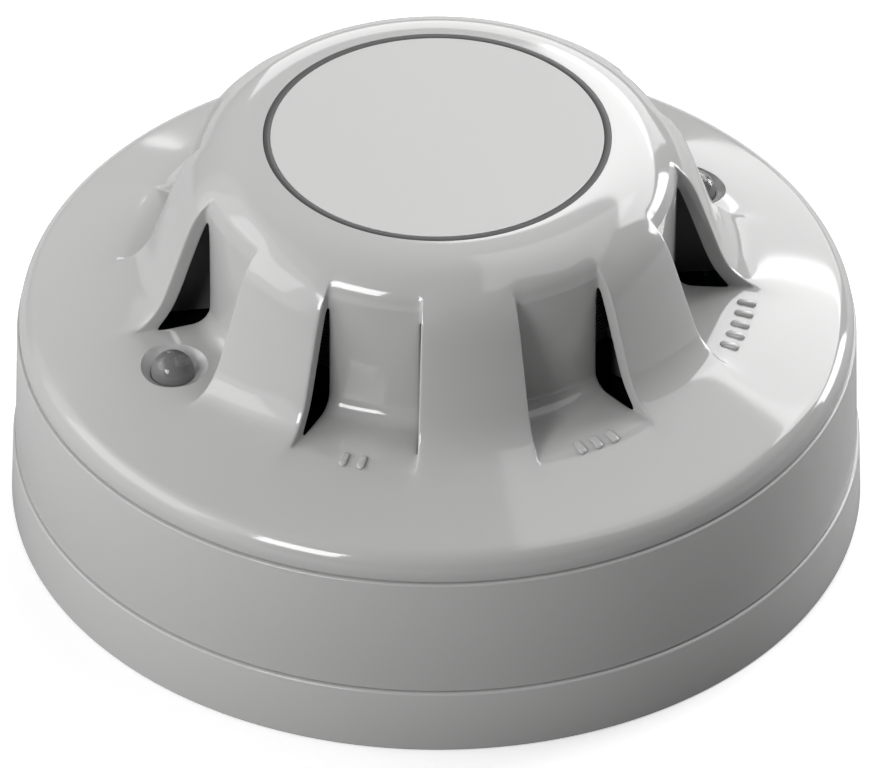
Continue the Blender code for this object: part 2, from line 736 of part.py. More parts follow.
def build_blades(material):
    """Four angle pieces that hang from the board and wipe on the contact strips."""
    top = BOARD_BOTTOM - SEAT_GAP
    half = BLADE_THICK / 2
    for index, angle in enumerate(LINE_TERMINALS, 1):
        outline = [
            (-half, BLADE_BOTTOM + half),
            (-half + 0.25, BLADE_BOTTOM),
            (half - 0.25, BLADE_BOTTOM),
            (half, BLADE_BOTTOM + half),
            (half, top),
            (half - BLADE_FOOT, top),
            (half - BLADE_FOOT, top - BLADE_THICK),
            (-half, top - BLADE_THICK),
        ]
        blade = flat_piece(f"contact_blade_{index}", outline, BLADE_WIDTH, material)
        turn = angle + BLADE_OFFSET
        blade.location = polar(TERMINAL_RADIUS, turn) * MM
        blade.rotation_euler = (0.0, 0.0, math.radians(turn))


def build_components(black, silver, glass, bead):
    """The larger parts on the board: controller, capacitor, reed switch and reference thermistor."""
    seat = BOARD_TOP + SEAT_GAP
    bm = bmesh.new()
    add_box(bm, (9.0, 7.0, 1.8), (-10.0, -13.0, seat + 0.9))
    place(bm, "controller_chip", black)
    bm = bmesh.new()
    add_rod(bm, 3.2, (16.0, -10.0, seat), (16.0, -10.0, seat + 7.5))
    place(bm, "smoothing_capacitor", silver)
    bm = bmesh.new()
    add_rod(bm, 1.1, (-14.0, 12.0, seat + 1.2), (0.0, 12.0, seat + 1.2), 12)
    place(bm, "reed_switch", glass)
    bm = bmesh.new()
    add_rod(bm, 1.5, (14.0, 14.0, seat), (14.0, 14.0, seat + 1.6), 16)
    place(bm, "reference_thermistor", bead)


def build_sensing_thermistor(material):
    bm = bmesh.new()
    matrix = Matrix.Translation((0, 0, BEAD_HEIGHT * MM))
    bmesh.ops.create_uvsphere(bm, u_segments=16, v_segments=10, radius=BEAD_RADIUS * MM, matrix=matrix)
    thermistor = place(bm, "sensing_thermistor", material)
    bm = bmesh.new()
    for side in (-LEAD_SPREAD, LEAD_SPREAD):
        start = (side, 0.0, BOARD_TOP + SEAT_GAP)
        add_rod(bm, LEAD_RADIUS, start, (side, 0.0, BEAD_HEIGHT), 8)
    join(thermistor, place(bm, "thermistor leads"))


def build_chamber(material, screen_material):
    """The tray that closes the sensing chamber, and the screen that stands on it."""
    hub = TRAY_HUB_RADIUS - TRAY_HUB_WALL
    ring_inner = TRAY_RING_RADIUS - TRAY_RING_WALL
    outline = [
        (hub, TRAY_TOP + TRAY_HUB_HEIGHT),
        (TRAY_HUB_RADIUS, TRAY_TOP + TRAY_HUB_HEIGHT),
        (TRAY_HUB_RADIUS, TRAY_TOP),
        (ring_inner, TRAY_TOP),
        (ring_inner, TRAY_TOP + TRAY_RING_HEIGHT),
        (TRAY_RING_RADIUS, TRAY_TOP + TRAY_RING_HEIGHT),
        (TRAY_RING_RADIUS, TRAY_TOP),
        (TRAY_RADIUS, TRAY_TOP),
        (TRAY_RADIUS, TRAY_BOTTOM),
        (hub, TRAY_BOTTOM),
    ]
    tray = turned("chamber_tray", outline, material)
    bm = bmesh.new()
    for angle in TRAY_LEG_ANGLES:
        start = polar(TRAY_LEG_CIRCLE, angle, BOARD_TOP + SEAT_GAP)
        add_rod(bm, TRAY_LEG_RADIUS, start, polar(TRAY_LEG_CIRCLE, angle, TRAY_TOP - TRAY_THICK / 2))
    join(tray, place(bm, "tray legs"))

    bottom = TRAY_TOP + TRAY_RING_HEIGHT + SEAT_GAP
    top = bottom + SCREEN_HEIGHT
    inner = SCREEN_RADIUS - SCREEN_WALL
    outline = [(inner, top), (SCREEN_RADIUS, top), (SCREEN_RADIUS, bottom), (inner, bottom)]
    turned("insect_screen", outline, screen_material)


def build_cover(material):
    """A turned solid. The bays are cut from outside, then the inside is cut out round their walls."""
    outer = rounded(cover_corners())
    half = RING_WIDTH / 2 + INLAY_GAP
    floor = COVER_TOP - RING_DEPTH - INLAY_GAP
    groove = [
        (RING_RADIUS - half, COVER_TOP),
        (RING_RADIUS - half, floor),
        (RING_RADIUS + half, floor),
        (RING_RADIUS + half, COVER_TOP),
    ]
    lip_outer = SKIRT_TOP_RADIUS - SKIRT_WALL - SEAT_GAP
    lip_bottom = COVER_BOTTOM - COVER_LIP_DEPTH
    bead = SKIRT_TOP - SNAP_HEIGHT
    bead_half = SNAP_WIDTH / 2
    lip = [
        (lip_outer, COVER_BOTTOM),
        (lip_outer, bead + bead_half),
        (lip_outer + SNAP_DEPTH, bead),
        (lip_outer, bead - bead_half),
        (lip_outer, lip_bottom),
        (0.0, lip_bottom),
    ]
    cover = turned("outer_cover", [outer[0], *groove, *outer[1:], *lip], material)
    for bay in range(BAY_COUNT):
        cut(cover, bay_cutter(bay))
    cut(cover, cover_hollow(lip_outer - COVER_LIP_WALL, lip_bottom))
    for angle in INDICATOR_ANGLES:
        cut(cover, indicator_pocket(angle))
    weld = cover.modifiers.new("Close cut corners", "WELD")
    weld.merge_threshold = 0.000003
    return cover


def bay_sector(name, outline, bay, width):
    bm = bmesh.new()
    add_sector(bm, outline, bay * 360.0 / BAY_COUNT, width, BAY_FACETS)
    return place(bm, f"{name} {bay}")


def bay_cutter(bay):
    """The open space of a bay, in front of its wall and above its floor."""
    beyond = BASE_RADIUS * 1.2
    above = COVER_TOP * 1.2
    near = BAY_WALL_RADIUS
    floor = BAY_FLOOR_TOP
    outline = [(beyond, above), (beyond, floor), (near, floor, BAY_FILLET), (near, above)]
    return bay_sector("bay", rounded(outline, closed=True), bay, BAY_WIDTH)


def cover_hollow(lip_inner, lip_bottom):
    """The inside of the cover, less the wall and floor that close each bay."""
    inner = rounded(offset_corners(cover_corners(), COVER_WALL))
    inside = [p for p in inner if p[0] < lip_inner]
    below = lip_bottom - COVER_WALL
    bottom = [(lip_inner, flange_underside(lip_inner)), (lip_inner, below), (0.0, below)]
    hollow = turned("cover hollow", [*inside, *bottom])
    beyond = BASE_RADIUS * 1.2
    above = COVER_TOP * 1.2
    near = BAY_WALL_RADIUS - BAY_WALL
    under = BAY_FLOOR_TOP - BAY_FLOOR
    floor = BAY_FLOOR_TOP - LEAD_IN
    corners = [(beyond, above), (beyond, under), (near, under, BAY_FILLET / 2), (near, above)]
    wall = rounded(corners, closed=True)
    floor = [(beyond, floor), (beyond, under), (near + BAY_WALL / 2, under), (near + BAY_WALL / 2, floor)]
    for bay in range(BAY_COUNT):
        cut(hollow, bay_sector("bay wall", wall, bay, BAY_WIDTH - 2 * BAY_WALL_INSET))
        cut(hollow, bay_sector("bay floor", floor, bay, BAY_WIDTH + 2 * BAY_FLOOR_OVERLAP))
    return hollow


def indicator_pocket(angle):
    """A dished pocket round an indicator, and the hole that its light pipe passes through."""
    hole = PIPE_RADIUS + SEAT_GAP
    high = BAY_FLOOR_TOP + LEAD_IN
    low = BAY_FLOOR_TOP - BAY_FLOOR * 2
    dish = BAY_FLOOR_TOP - POCKET_DEPTH
    outline = [(0.0, high), (POCKET_RADIUS, high), (hole, dish), (hole, low), (0.0, low)]
    at = polar(INDICATOR_CIRCLE, angle)
    return turned(f"indicator pocket {angle:.0f}", outline, None, SMALL_STEPS, at)


def build_ring(material):
    half = RING_WIDTH / 2
    top = COVER_TOP
    bottom = COVER_TOP - RING_DEPTH
    outline = [
        (RING_RADIUS - half, top),
        (RING_RADIUS + half, top),
        (RING_RADIUS + half, bottom),
        (RING_RADIUS - half, bottom),
    ]
    turned("identification_ring", outline, material)


def build_indicators(clear, lamp):
    """Two light pipes with domed ends, each over a lamp on the board."""
    centre = PIPE_STANDS + BAY_FLOOR_TOP - PIPE_RADIUS
    flange = flange_underside(INDICATOR_CIRCLE + PIPE_COLLAR_RADIUS)
    collar_top = min(BAY_FLOOR_TOP - BAY_FLOOR, flange) - SEAT_GAP
    collar_bottom = collar_top - PIPE_COLLAR
    lamp_bottom = BOARD_TOP + SEAT_GAP
    lamp_top = lamp_bottom + LAMP_HEIGHT
    dome_steps = 6
    dome = []
    for k in range(dome_steps + 1):
        angle = math.pi / 2 * (1 - k / dome_steps)
        dome.append((PIPE_RADIUS * math.cos(angle), centre + PIPE_RADIUS * math.sin(angle)))
    dome[0] = (0.0, dome[0][1])
    stem = [
        (PIPE_RADIUS, collar_top),
        (PIPE_COLLAR_RADIUS, collar_top),
        (PIPE_COLLAR_RADIUS, collar_bottom),
        (PIPE_STEM_RADIUS, collar_bottom),
        (PIPE_STEM_RADIUS, lamp_top + SEAT_GAP),
        (0.0, lamp_top + SEAT_GAP),
    ]
    lamp_outline = [
        (0.0, lamp_top),
        (LAMP_RADIUS * 0.7, lamp_top),
        (LAMP_RADIUS, lamp_top - LAMP_RADIUS * 0.3),
        (LAMP_RADIUS, lamp_bottom),
        (0.0, lamp_bottom),
    ]
    for index, angle in enumerate(INDICATOR_ANGLES, 1):
        at = polar(INDICATOR_CIRCLE, angle)
        turned(f"light_pipe_{index}", dome + stem, clear, SMALL_STEPS, at)
        turned(f"indicator_lamp_{index}", lamp_outline, lamp, 12, at)


# ---------------------------------------------------------------- the whole detector

clear_scene()
DETECTOR = new_collection("Heat detector")
HELPERS = new_collection("Cutters and joins")

white = plastic("white polycarbonate", (0.78, 0.78, 0.77), 0.25)
base_white = plastic("base white", (0.76, 0.76, 0.75), 0.35)
black_plastic = plastic("black plastic", (0.02, 0.02, 0.022), 0.5)
screen_black = plastic("screen black", (0.03, 0.03, 0.033), 0.45)
ring_grey = plastic("ring grey", (0.1, 0.1, 0.1), 0.5)
clear_lens = plastic("clear lens", (0.9, 0.9, 0.9), 0.05, transmission=0.9)
board_green = plastic("board green", (0.02, 0.16, 0.07), 0.4)
plated_steel = plastic("plated steel", (0.7, 0.7, 0.7), 0.3, metallic=1.0)
sprung_steel = plastic("sprung steel", (0.62, 0.6, 0.56), 0.28, metallic=1.0)
bead_glass = plastic("bead coating", (0.25, 0.12, 0.05), 0.3)
tube_glass = plastic("tube glass", (0.6, 0.75, 0.65), 0.1, transmission=0.8)

build_base(base_white)
for number, place_angle in enumerate((*LINE_TERMINALS, EARTH_TERMINAL), 1):
    build_terminal(number, place_angle, plated_steel, sprung_steel)
build_housing(white)
build_locking_screw(plated_steel)
build_board(board_green)
build_board_screws(plated_steel)
build_blades(sprung_steel)
build_components(black_plastic, plated_steel, tube_glass, bead_glass)
build_sensing_thermistor(bead_glass)
build_chamber(black_plastic, screen_black)
build_indicators(clear_lens, clear_lens)
build_cover(white)
build_ring(ring_grey)
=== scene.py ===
import math

import bmesh
import bpy
from mathutils import Matrix, Vector


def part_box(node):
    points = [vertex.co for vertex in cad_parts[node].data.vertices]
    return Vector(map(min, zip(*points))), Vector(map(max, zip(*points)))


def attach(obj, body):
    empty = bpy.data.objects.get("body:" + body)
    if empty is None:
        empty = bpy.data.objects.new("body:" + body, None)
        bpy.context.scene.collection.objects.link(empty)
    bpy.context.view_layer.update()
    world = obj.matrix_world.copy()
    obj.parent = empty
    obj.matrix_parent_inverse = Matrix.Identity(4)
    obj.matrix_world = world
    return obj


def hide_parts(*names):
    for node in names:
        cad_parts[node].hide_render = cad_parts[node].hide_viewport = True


# shapes are worked out in millimetres and made in metres
mm = 0.001
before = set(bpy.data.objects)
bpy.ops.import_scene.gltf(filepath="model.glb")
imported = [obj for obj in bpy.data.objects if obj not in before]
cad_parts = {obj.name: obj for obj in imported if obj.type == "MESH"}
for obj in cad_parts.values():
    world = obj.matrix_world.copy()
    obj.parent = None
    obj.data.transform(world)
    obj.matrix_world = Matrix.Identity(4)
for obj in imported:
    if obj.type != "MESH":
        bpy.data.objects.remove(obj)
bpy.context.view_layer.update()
print("frame loaded:", len(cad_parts), "CAD parts")


# The far corner of a CAD part's box
def highOf(node):
    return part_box(node)[1] / mm


# The near corner of a CAD part's box
def lowOf(node):
    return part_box(node)[0] / mm


# A point on the detector at a radius, an angle and a height
def polar(radius, degrees, height=0.0):
    angle = math.radians(degrees)
    return Vector((radius * math.cos(angle), radius * math.sin(angle), height))


# Where two straight lines meet
def crossing(pointA, dirA, pointB, dirB):
    cross = dirA.x * dirB.y - dirA.y * dirB.x
    gap = pointB - pointA
    return pointA + dirA * ((gap.x * dirB.y - gap.y * dirB.x) / cross)


# An outline has x for the radius and y for the height; a corner may have a third number, its rounding
def rounded(corners, closed=False, step=9.0):
    points = []
    count = len(corners)
    for i, corner in enumerate(corners):
        here = Vector(corner[:2])
        radius = corner[2] if len(corner) > 2 else 0.0
        if radius <= 0 or (not closed and i in (0, count - 1)):
            points.append(here)
            continue
        toLast = (Vector(corners[i - 1][:2]) - here).normalized()
        toNext = (Vector(corners[(i + 1) % count][:2]) - here).normalized()
        half = toLast.angle(toNext) / 2
        reach = radius / math.tan(half)
        centre = here + (toLast + toNext).normalized() * (radius / math.sin(half))
        start = here + toLast * reach - centre
        turn = start.angle_signed(here + toNext * reach - centre)
        steps = max(2, round(abs(math.degrees(turn)) / step))
        for k in range(steps + 1):
            points.append(centre + Matrix.Rotation(-turn * k / steps, 2) @ start)
    return points


# Moves a run of straight sides to its right and keeps its arcs concentric
def offsetCorners(corners, distance):
    sides = [Vector(b[:2]) - Vector(a[:2]) for a, b in zip(corners, corners[1:])]
    normals = [Vector((s.y, -s.x)).normalized() for s in sides]
    moved = [tuple(Vector(corners[0][:2]) + normals[0] * distance)]
    for i in range(1, len(corners) - 1):
        here = Vector(corners[i][:2])
        pointA = here + normals[i - 1] * distance
        point = crossing(pointA, sides[i - 1], here + normals[i] * distance, sides[i])
        bend = sides[i - 1].x * sides[i].y - sides[i - 1].y * sides[i].x
        moved.append((point.x, point.y, corners[i][2] + (-distance if bend < 0 else distance)))
    moved.append(tuple(Vector(corners[-1][:2]) + normals[-1] * distance))
    return moved


# Cuts a run of points in two where x (axis 0) or y (axis 1) reaches a value
def splitAt(points, axis, value):
    for i, (a, b) in enumerate(zip(points, points[1:])):
        if (a[axis] - value) * (b[axis] - value) <= 0 and a[axis] != b[axis]:
            cut = a.lerp(b, (value - a[axis]) / (b[axis] - a[axis]))
            return points[: i + 1] + [cut], [cut] + points[i + 1:]
    raise ValueError("the outline doesn't reach that value")


# The same run with count equal intervals
def spaced(points, count):
    lengths = [0.0]
    for a, b in zip(points, points[1:]):
        lengths.append(lengths[-1] + (b - a).length)
    result = []
    for k in range(count + 1):
        want = lengths[-1] * k / count
        i = max(j for j in range(len(points) - 1) if lengths[j] <= want + 1e-9)
        span = lengths[i + 1] - lengths[i]
        result.append(points[i].lerp(points[i + 1], (want - lengths[i]) / span if span else 0.0))
    return result


# A new object made of the mesh being built
def objectOf(bm, name, normals=True):
    if normals:
        bmesh.ops.recalc_face_normals(bm, faces=bm.faces[:])
    mesh = bpy.data.meshes.new(name)
    bm.to_mesh(mesh)
    bm.free()
    obj = bpy.data.objects.new(name, mesh)
    bpy.context.scene.collection.objects.link(obj)
    return obj


# Applies the modifiers, deletes the Boolean cutters and shades the result smooth
def applyAll(obj, sharp=35.0):
    bpy.context.view_layer.update()
    graph = bpy.context.evaluated_depsgraph_get()
    mesh = bpy.data.meshes.new_from_object(obj.evaluated_get(graph))
    cutters = {m.object for m in obj.modifiers if m.type == "BOOLEAN"}
    obj.modifiers.clear()
    obj.data = mesh
    for cutter in cutters:
        bpy.data.objects.remove(cutter)
    mesh.shade_smooth()
    mesh.set_sharp_from_angle(angle=math.radians(sharp))
    return obj


def boolean(obj, other, operation="DIFFERENCE"):
    modifier = obj.modifiers.new(operation.title(), "BOOLEAN")
    modifier.operation = operation
    modifier.solver = "EXACT"
    modifier.object = other


# Spins an outline: it runs down the outer side, from the axis or as a loop
def turned(name, outline, steps=192, at=(0, 0, 0)):
    bm = bmesh.new()
    ring = [bm.verts.new((p[0] * mm, 0.0, p[1] * mm)) for p in outline]
    for a, b in zip(ring, ring[1:]):
        bm.edges.new((a, b))
    if outline[0][0] > 0:
        bm.edges.new((ring[-1], ring[0]))
    bmesh.ops.spin(bm, geom=bm.verts[:] + bm.edges[:], cent=(0, 0, 0), axis=(0, 0, 1),
                   angle=math.tau, steps=steps, use_merge=True)
    bmesh.ops.remove_doubles(bm, verts=bm.verts[:], dist=0.000001)
    bmesh.ops.translate(bm, verts=bm.verts[:], vec=Vector(at) * mm)
    return objectOf(bm, name)


def addSector(bm, outline, middle, width, steps):
    start = Matrix.Rotation(math.radians(middle - width / 2), 3, "Z")
    verts = [bm.verts.new(start @ Vector((p[0], 0.0, p[1])) * mm) for p in outline]
    face = bm.faces.new(verts)
    bmesh.ops.spin(bm, geom=[face, *face.edges, *verts], cent=(0, 0, 0), axis=(0, 0, 1),
                   angle=math.radians(width), steps=steps, use_duplicate=False)
    if not face.is_valid:
        bm.faces.new(verts)


def addBox(bm, size, centre, turn=0.0):
    matrix = Matrix.Translation(Vector(centre) * mm) @ Matrix.Rotation(math.radians(turn), 4, "Z")
    matrix @= Matrix.Diagonal((*(Vector(size) * mm), 1.0))
    bmesh.ops.create_cube(bm, size=1.0, matrix=matrix)


def addRod(bm, radius, start, end, sides=48, tipRadius=None):
    start, end = Vector(start) * mm, Vector(end) * mm
    along = end - start
    matrix = Matrix.Translation((start + end) / 2) @ along.to_track_quat("Z", "Y").to_matrix().to_4x4()
    bmesh.ops.create_cone(bm, cap_ends=True, segments=sides, radius1=radius * mm,
                          radius2=(radius if tipRadius is None else tipRadius) * mm,
                          depth=along.length, matrix=matrix)


# A shader node group, whose inputs and outputs are (name, kind, default)
def newGroup(name, inputs, outputs):
    group = bpy.data.node_groups.new(name, "ShaderNodeTree")
    kinds = {"value": "NodeSocketFloat", "colour": "NodeSocketColor", "vector": "NodeSocketVector"}
    for direction, sockets in (("INPUT", inputs), ("OUTPUT", outputs)):
        for title, kind, default in sockets:
            socket = group.interface.new_socket(title, in_out=direction, socket_type=kinds[kind])
            if default is not None and direction == "INPUT":
                socket.default_value = default
    return group, group.nodes.new("NodeGroupInput"), group.nodes.new("NodeGroupOutput")


def noiseNode(tree, scale, detail=3.0, roughness=0.5):
    node = tree.nodes.new("ShaderNodeTexNoise")
    node.inputs["Scale"].default_value = scale
    node.inputs["Detail"].default_value = detail
    node.inputs["Roughness"].default_value = roughness
    return node


def mathNode(tree, operation, a, b=None, clamp=False):
    node = tree.nodes.new("ShaderNodeMath")
    node.operation = operation
    node.use_clamp = clamp
    for socket, value in zip(node.inputs, (a, b)):
        if value is None:
            continue
        if isinstance(value, (int, float)):
            socket.default_value = value
        else:
            tree.links.new(value, socket)
    return node.outputs[0]


def mixColour(tree, factor, a, b):
    node = tree.nodes.new("ShaderNodeMix")
    node.data_type = "RGBA"
    for title, value in (("Factor", factor), ("A", a), ("B", b)):
        socket = next(s for s in node.inputs if s.name == title and s.enabled)
        if isinstance(value, (int, float)):
            socket.default_value = value
        elif isinstance(value, tuple):
            socket.default_value = (*value, 1.0)
        else:
            tree.links.new(value, socket)
    return next(s for s in node.outputs if s.enabled)


# Colour, gloss and fine relief of an injection-moulded surface
def makeMouldedSkin():
    group, inside, out = newGroup(
        "mouldedSkin",
        [("Colour", "colour", (0.8, 0.8, 0.8, 1)), ("Shade Colour", "colour", (0.6, 0.6, 0.6, 1)),
         ("Cloud Size", "value", 60.0), ("Cloud Amount", "value", 0.2),
         ("Gloss", "value", 0.15), ("Gloss Spread", "value", 0.05),
         ("Grain Size", "value", 4000.0), ("Peel Size", "value", 140.0), ("Peel Share", "value", 0.5)],
        [("Colour", "colour", None), ("Roughness", "value", None), ("Height", "value", None)],
    )
    place = group.nodes.new("ShaderNodeTexCoord")
    links = group.links
    cloud = noiseNode(group, 60.0, 4.0, 0.55)
    grain = noiseNode(group, 4000.0, 2.0)
    peel = noiseNode(group, 140.0, 1.0)
    for node, title in ((cloud, "Cloud Size"), (grain, "Grain Size"), (peel, "Peel Size")):
        links.new(place.outputs["Object"], node.inputs["Vector"])
        links.new(inside.outputs[title], node.inputs["Scale"])
    amount = mathNode(group, "MULTIPLY", cloud.outputs["Fac"], inside.outputs["Cloud Amount"], True)
    colour = mixColour(group, amount, inside.outputs["Colour"], inside.outputs["Shade Colour"])
    spread = mathNode(group, "MULTIPLY", mathNode(group, "SUBTRACT", cloud.outputs["Fac"], 0.5),
                      inside.outputs["Gloss Spread"])
    gloss = mathNode(group, "ADD", inside.outputs["Gloss"], spread, True)
    peelPart = mathNode(group, "MULTIPLY", peel.outputs["Fac"], inside.outputs["Peel Share"])
    grainShare = mathNode(group, "SUBTRACT", 1.0, inside.outputs["Peel Share"])
    height = mathNode(group, "ADD", peelPart, mathNode(group, "MULTIPLY", grain.outputs["Fac"], grainShare))
    links.new(colour, out.inputs["Colour"])
    links.new(gloss, out.inputs["Roughness"])
    links.new(height, out.inputs["Height"])
    return group


# Fine drawn lines and a little tarnish, for small metal parts
def makeBrushedGrain():
    group, inside, out = newGroup(
        "drawnMetal",
        [("Colour", "colour", (0.7, 0.7, 0.7, 1)), ("Tarnish Colour", "colour", (0.4, 0.38, 0.33, 1)),
         ("Line Size", "value", 900.0), ("Tarnish Size", "value", 250.0), ("Gloss", "value", 0.25)],
        [("Colour", "colour", None), ("Roughness", "value", None), ("Height", "value", None)],
    )
    place = group.nodes.new("ShaderNodeTexCoord")
    stretch = group.nodes.new("ShaderNodeMapping")
    stretch.inputs["Scale"].default_value = (1.0, 1.0, 14.0)
    group.links.new(place.outputs["Object"], stretch.inputs["Vector"])
    lines = noiseNode(group, 900.0, 3.0)
    tarnish = noiseNode(group, 250.0, 4.0, 0.6)
    group.links.new(stretch.outputs["Vector"], lines.inputs["Vector"])
    group.links.new(place.outputs["Object"], tarnish.inputs["Vector"])
    group.links.new(inside.outputs["Line Size"], lines.inputs["Scale"])
    group.links.new(inside.outputs["Tarnish Size"], tarnish.inputs["Scale"])
    mask = mathNode(group, "MULTIPLY", mathNode(group, "SUBTRACT", tarnish.outputs["Fac"], 0.5), 1.6, True)
    group.links.new(mixColour(group, mask, inside.outputs["Colour"], inside.outputs["Tarnish Colour"]),
                    out.inputs["Colour"])
    rough = mathNode(group, "ADD", inside.outputs["Gloss"],
                     mathNode(group, "MULTIPLY", lines.outputs["Fac"], 0.15), True)
    group.links.new(rough, out.inputs["Roughness"])
    group.links.new(lines.outputs["Fac"], out.inputs["Height"])
    return group


mouldedSkin = makeMouldedSkin()
drawnMetal = makeBrushedGrain()


def newMaterial(name):
    material = bpy.data.materials.new(name)
    material.use_nodes = True
    return material, material.node_tree, material.node_tree.nodes["Principled BSDF"]


def useGroup(tree, group, values):
    node = tree.nodes.new("ShaderNodeGroup")
    node.node_tree = group
    for title, value in values.items():
        node.inputs[title].default_value = (*value, 1.0) if isinstance(value, tuple) else value
    return node


def addRelief(tree, shader, height, distance, strength):
    bump = tree.nodes.new("ShaderNodeBump")
    bump.inputs["Distance"].default_value = distance * mm
    bump.inputs["Strength"].default_value = strength
    tree.links.new(height, bump.inputs["Height"])
    tree.links.new(bump.outputs["Normal"], shader.inputs["Normal"])


def plasticMaterial(name, look):
    material, tree, shader = newMaterial(name)
    skin = useGroup(tree, mouldedSkin, look["skin"])
    tree.links.new(skin.outputs["Colour"], shader.inputs["Base Color"])
    tree.links.new(skin.outputs["Roughness"], shader.inputs["Roughness"])
    addRelief(tree, shader, skin.outputs["Height"], look.get("relief", 0.02), look.get("strength", 0.3))
    shader.inputs["IOR"].default_value = look.get("ior", 1.55)
    return material


def metalMaterial(name, look):
    material, tree, shader = newMaterial(name)
    metal = useGroup(tree, drawnMetal, look)
    tree.links.new(metal.outputs["Colour"], shader.inputs["Base Color"])
    tree.links.new(metal.outputs["Roughness"], shader.inputs["Roughness"])
    addRelief(tree, shader, metal.outputs["Height"], 0.02, 0.2)
    shader.inputs["Metallic"].default_value = 1.0
    return material


# A clear moulding whose colour drifts slightly from place to place
def clearMaterial(name, look):
    material, tree, shader = newMaterial(name)
    skin = useGroup(tree, mouldedSkin, look["skin"])
    tree.links.new(skin.outputs["Colour"], shader.inputs["Base Color"])
    tree.links.new(skin.outputs["Roughness"], shader.inputs["Roughness"])
    addRelief(tree, shader, skin.outputs["Height"], 0.01, 0.1)
    shader.inputs["Transmission Weight"].default_value = look["clear"]
    shader.inputs["IOR"].default_value = 1.49
    return material


# Green lacquer over copper tracks, which stand a little proud
def boardMaterial():
    look = {"lacquer": (0.012, 0.11, 0.045), "track": (0.03, 0.2, 0.08), "pitch": 260.0, "edge": 0.42}
    material, tree, shader = newMaterial("boardLacquer")
    place = tree.nodes.new("ShaderNodeTexCoord")
    cells = tree.nodes.new("ShaderNodeTexVoronoi")
    cells.feature = "F1"
    cells.distance = "CHEBYCHEV"
    cells.inputs["Scale"].default_value = look["pitch"]
    tree.links.new(place.outputs["Object"], cells.inputs["Vector"])
    track = mathNode(tree, "GREATER_THAN", cells.outputs["Distance"], look["edge"])
    tree.links.new(mixColour(tree, track, look["lacquer"], look["track"]), shader.inputs["Base Color"])
    speck = noiseNode(tree, 900.0)
    tree.links.new(place.outputs["Object"], speck.inputs["Vector"])
    rough = mathNode(tree, "ADD", mathNode(tree, "MULTIPLY", speck.outputs["Fac"], 0.15), 0.22)
    tree.links.new(rough, shader.inputs["Roughness"])
    addRelief(tree, shader, track, 0.03, 0.5)
    return material


whiteSkin = {
    "Colour": (0.5, 0.5, 0.497), "Shade Colour": (0.47, 0.47, 0.467), "Cloud Size": 45.0,
    "Cloud Amount": 0.25, "Gloss": 0.08, "Gloss Spread": 0.03, "Grain Size": 2600.0,
    "Peel Size": 160.0, "Peel Share": 0.75,
}
blackSkin = {
    "Colour": (0.012, 0.011, 0.012), "Shade Colour": (0.02, 0.019, 0.02), "Cloud Size": 90.0,
    "Cloud Amount": 0.6, "Gloss": 0.45, "Gloss Spread": 0.1, "Grain Size": 1800.0,
    "Peel Size": 400.0, "Peel Share": 0.2,
}
clearSkin = {
    "Colour": (0.9, 0.9, 0.9), "Shade Colour": (0.8, 0.8, 0.8), "Cloud Size": 120.0,
    "Cloud Amount": 0.3, "Gloss": 0.03, "Gloss Spread": 0.02, "Grain Size": 3000.0,
    "Peel Size": 200.0, "Peel Share": 0.9,
}


def tinted(skin, colour, shade, gloss):
    return {**skin, "Colour": colour, "Shade Colour": shade, "Gloss": gloss}


looks = {
    "coverWhite": plasticMaterial("coverWhite", {"skin": whiteSkin, "relief": 0.03, "strength": 0.06}),
    "discWhite": plasticMaterial("discWhite", {
        "skin": {**whiteSkin, "Gloss": 0.42, "Gloss Spread": 0.05}, "relief": 0.01, "strength": 0.05}),
    "housingWhite": plasticMaterial("housingWhite", {
        "skin": {**whiteSkin, "Gloss": 0.24}, "relief": 0.03, "strength": 0.06}),
    "baseWhite": plasticMaterial("baseWhite", {
        "skin": {**whiteSkin, "Gloss": 0.22}, "relief": 0.03, "strength": 0.06}),
    "ringGrey": plasticMaterial("ringGrey", {
        "skin": tinted(blackSkin, (0.02, 0.02, 0.02), (0.028, 0.028, 0.028), 0.45)}),
    "trayBlack": plasticMaterial("trayBlack", {
        "skin": tinted(blackSkin, (0.002, 0.002, 0.002), (0.004, 0.004, 0.004), 0.8), "ior": 1.2}),
    "baffleGrey": plasticMaterial("baffleGrey", {
        "skin": tinted(blackSkin, (0.22, 0.215, 0.22), (0.18, 0.176, 0.18), 0.7), "ior": 1.3}),
    "screenBlack": plasticMaterial("screenBlack", {
        "skin": tinted(blackSkin, (0.05, 0.048, 0.05), (0.04, 0.038, 0.04), 0.35)}),
    "chipBlack": plasticMaterial("chipBlack", {"skin": blackSkin, "relief": 0.05, "strength": 0.5}),
    "beadBrown": plasticMaterial("beadBrown", {
        "skin": tinted(blackSkin, (0.16, 0.07, 0.03), (0.08, 0.035, 0.015), 0.2)}),
    "clearLens": clearMaterial("clearLens", {
        "skin": tinted(clearSkin, (0.6, 0.6, 0.6), (0.5, 0.5, 0.5), 0.03), "clear": 0.72}),
    "tubeGlass": clearMaterial("tubeGlass", {
        "skin": tinted(clearSkin, (0.7, 0.85, 0.76), (0.8, 0.8, 0.8), 0.03), "clear": 0.9}),
    "lampEpoxy": plasticMaterial("lampEpoxy", {
        "skin": tinted(clearSkin, (0.35, 0.35, 0.35), (0.25, 0.25, 0.25), 0.2)}),
    "platedSteel": metalMaterial("platedSteel", {
        "Colour": (0.62, 0.62, 0.62), "Tarnish Colour": (0.4, 0.4, 0.39), "Gloss": 0.18}),
    "sprungBronze": metalMaterial("sprungBronze", {
        "Colour": (0.66, 0.56, 0.38), "Tarnish Colour": (0.4, 0.3, 0.18), "Gloss": 0.2}),
    "boardLacquer": boardMaterial(),
}
print("materials made:", len(looks))


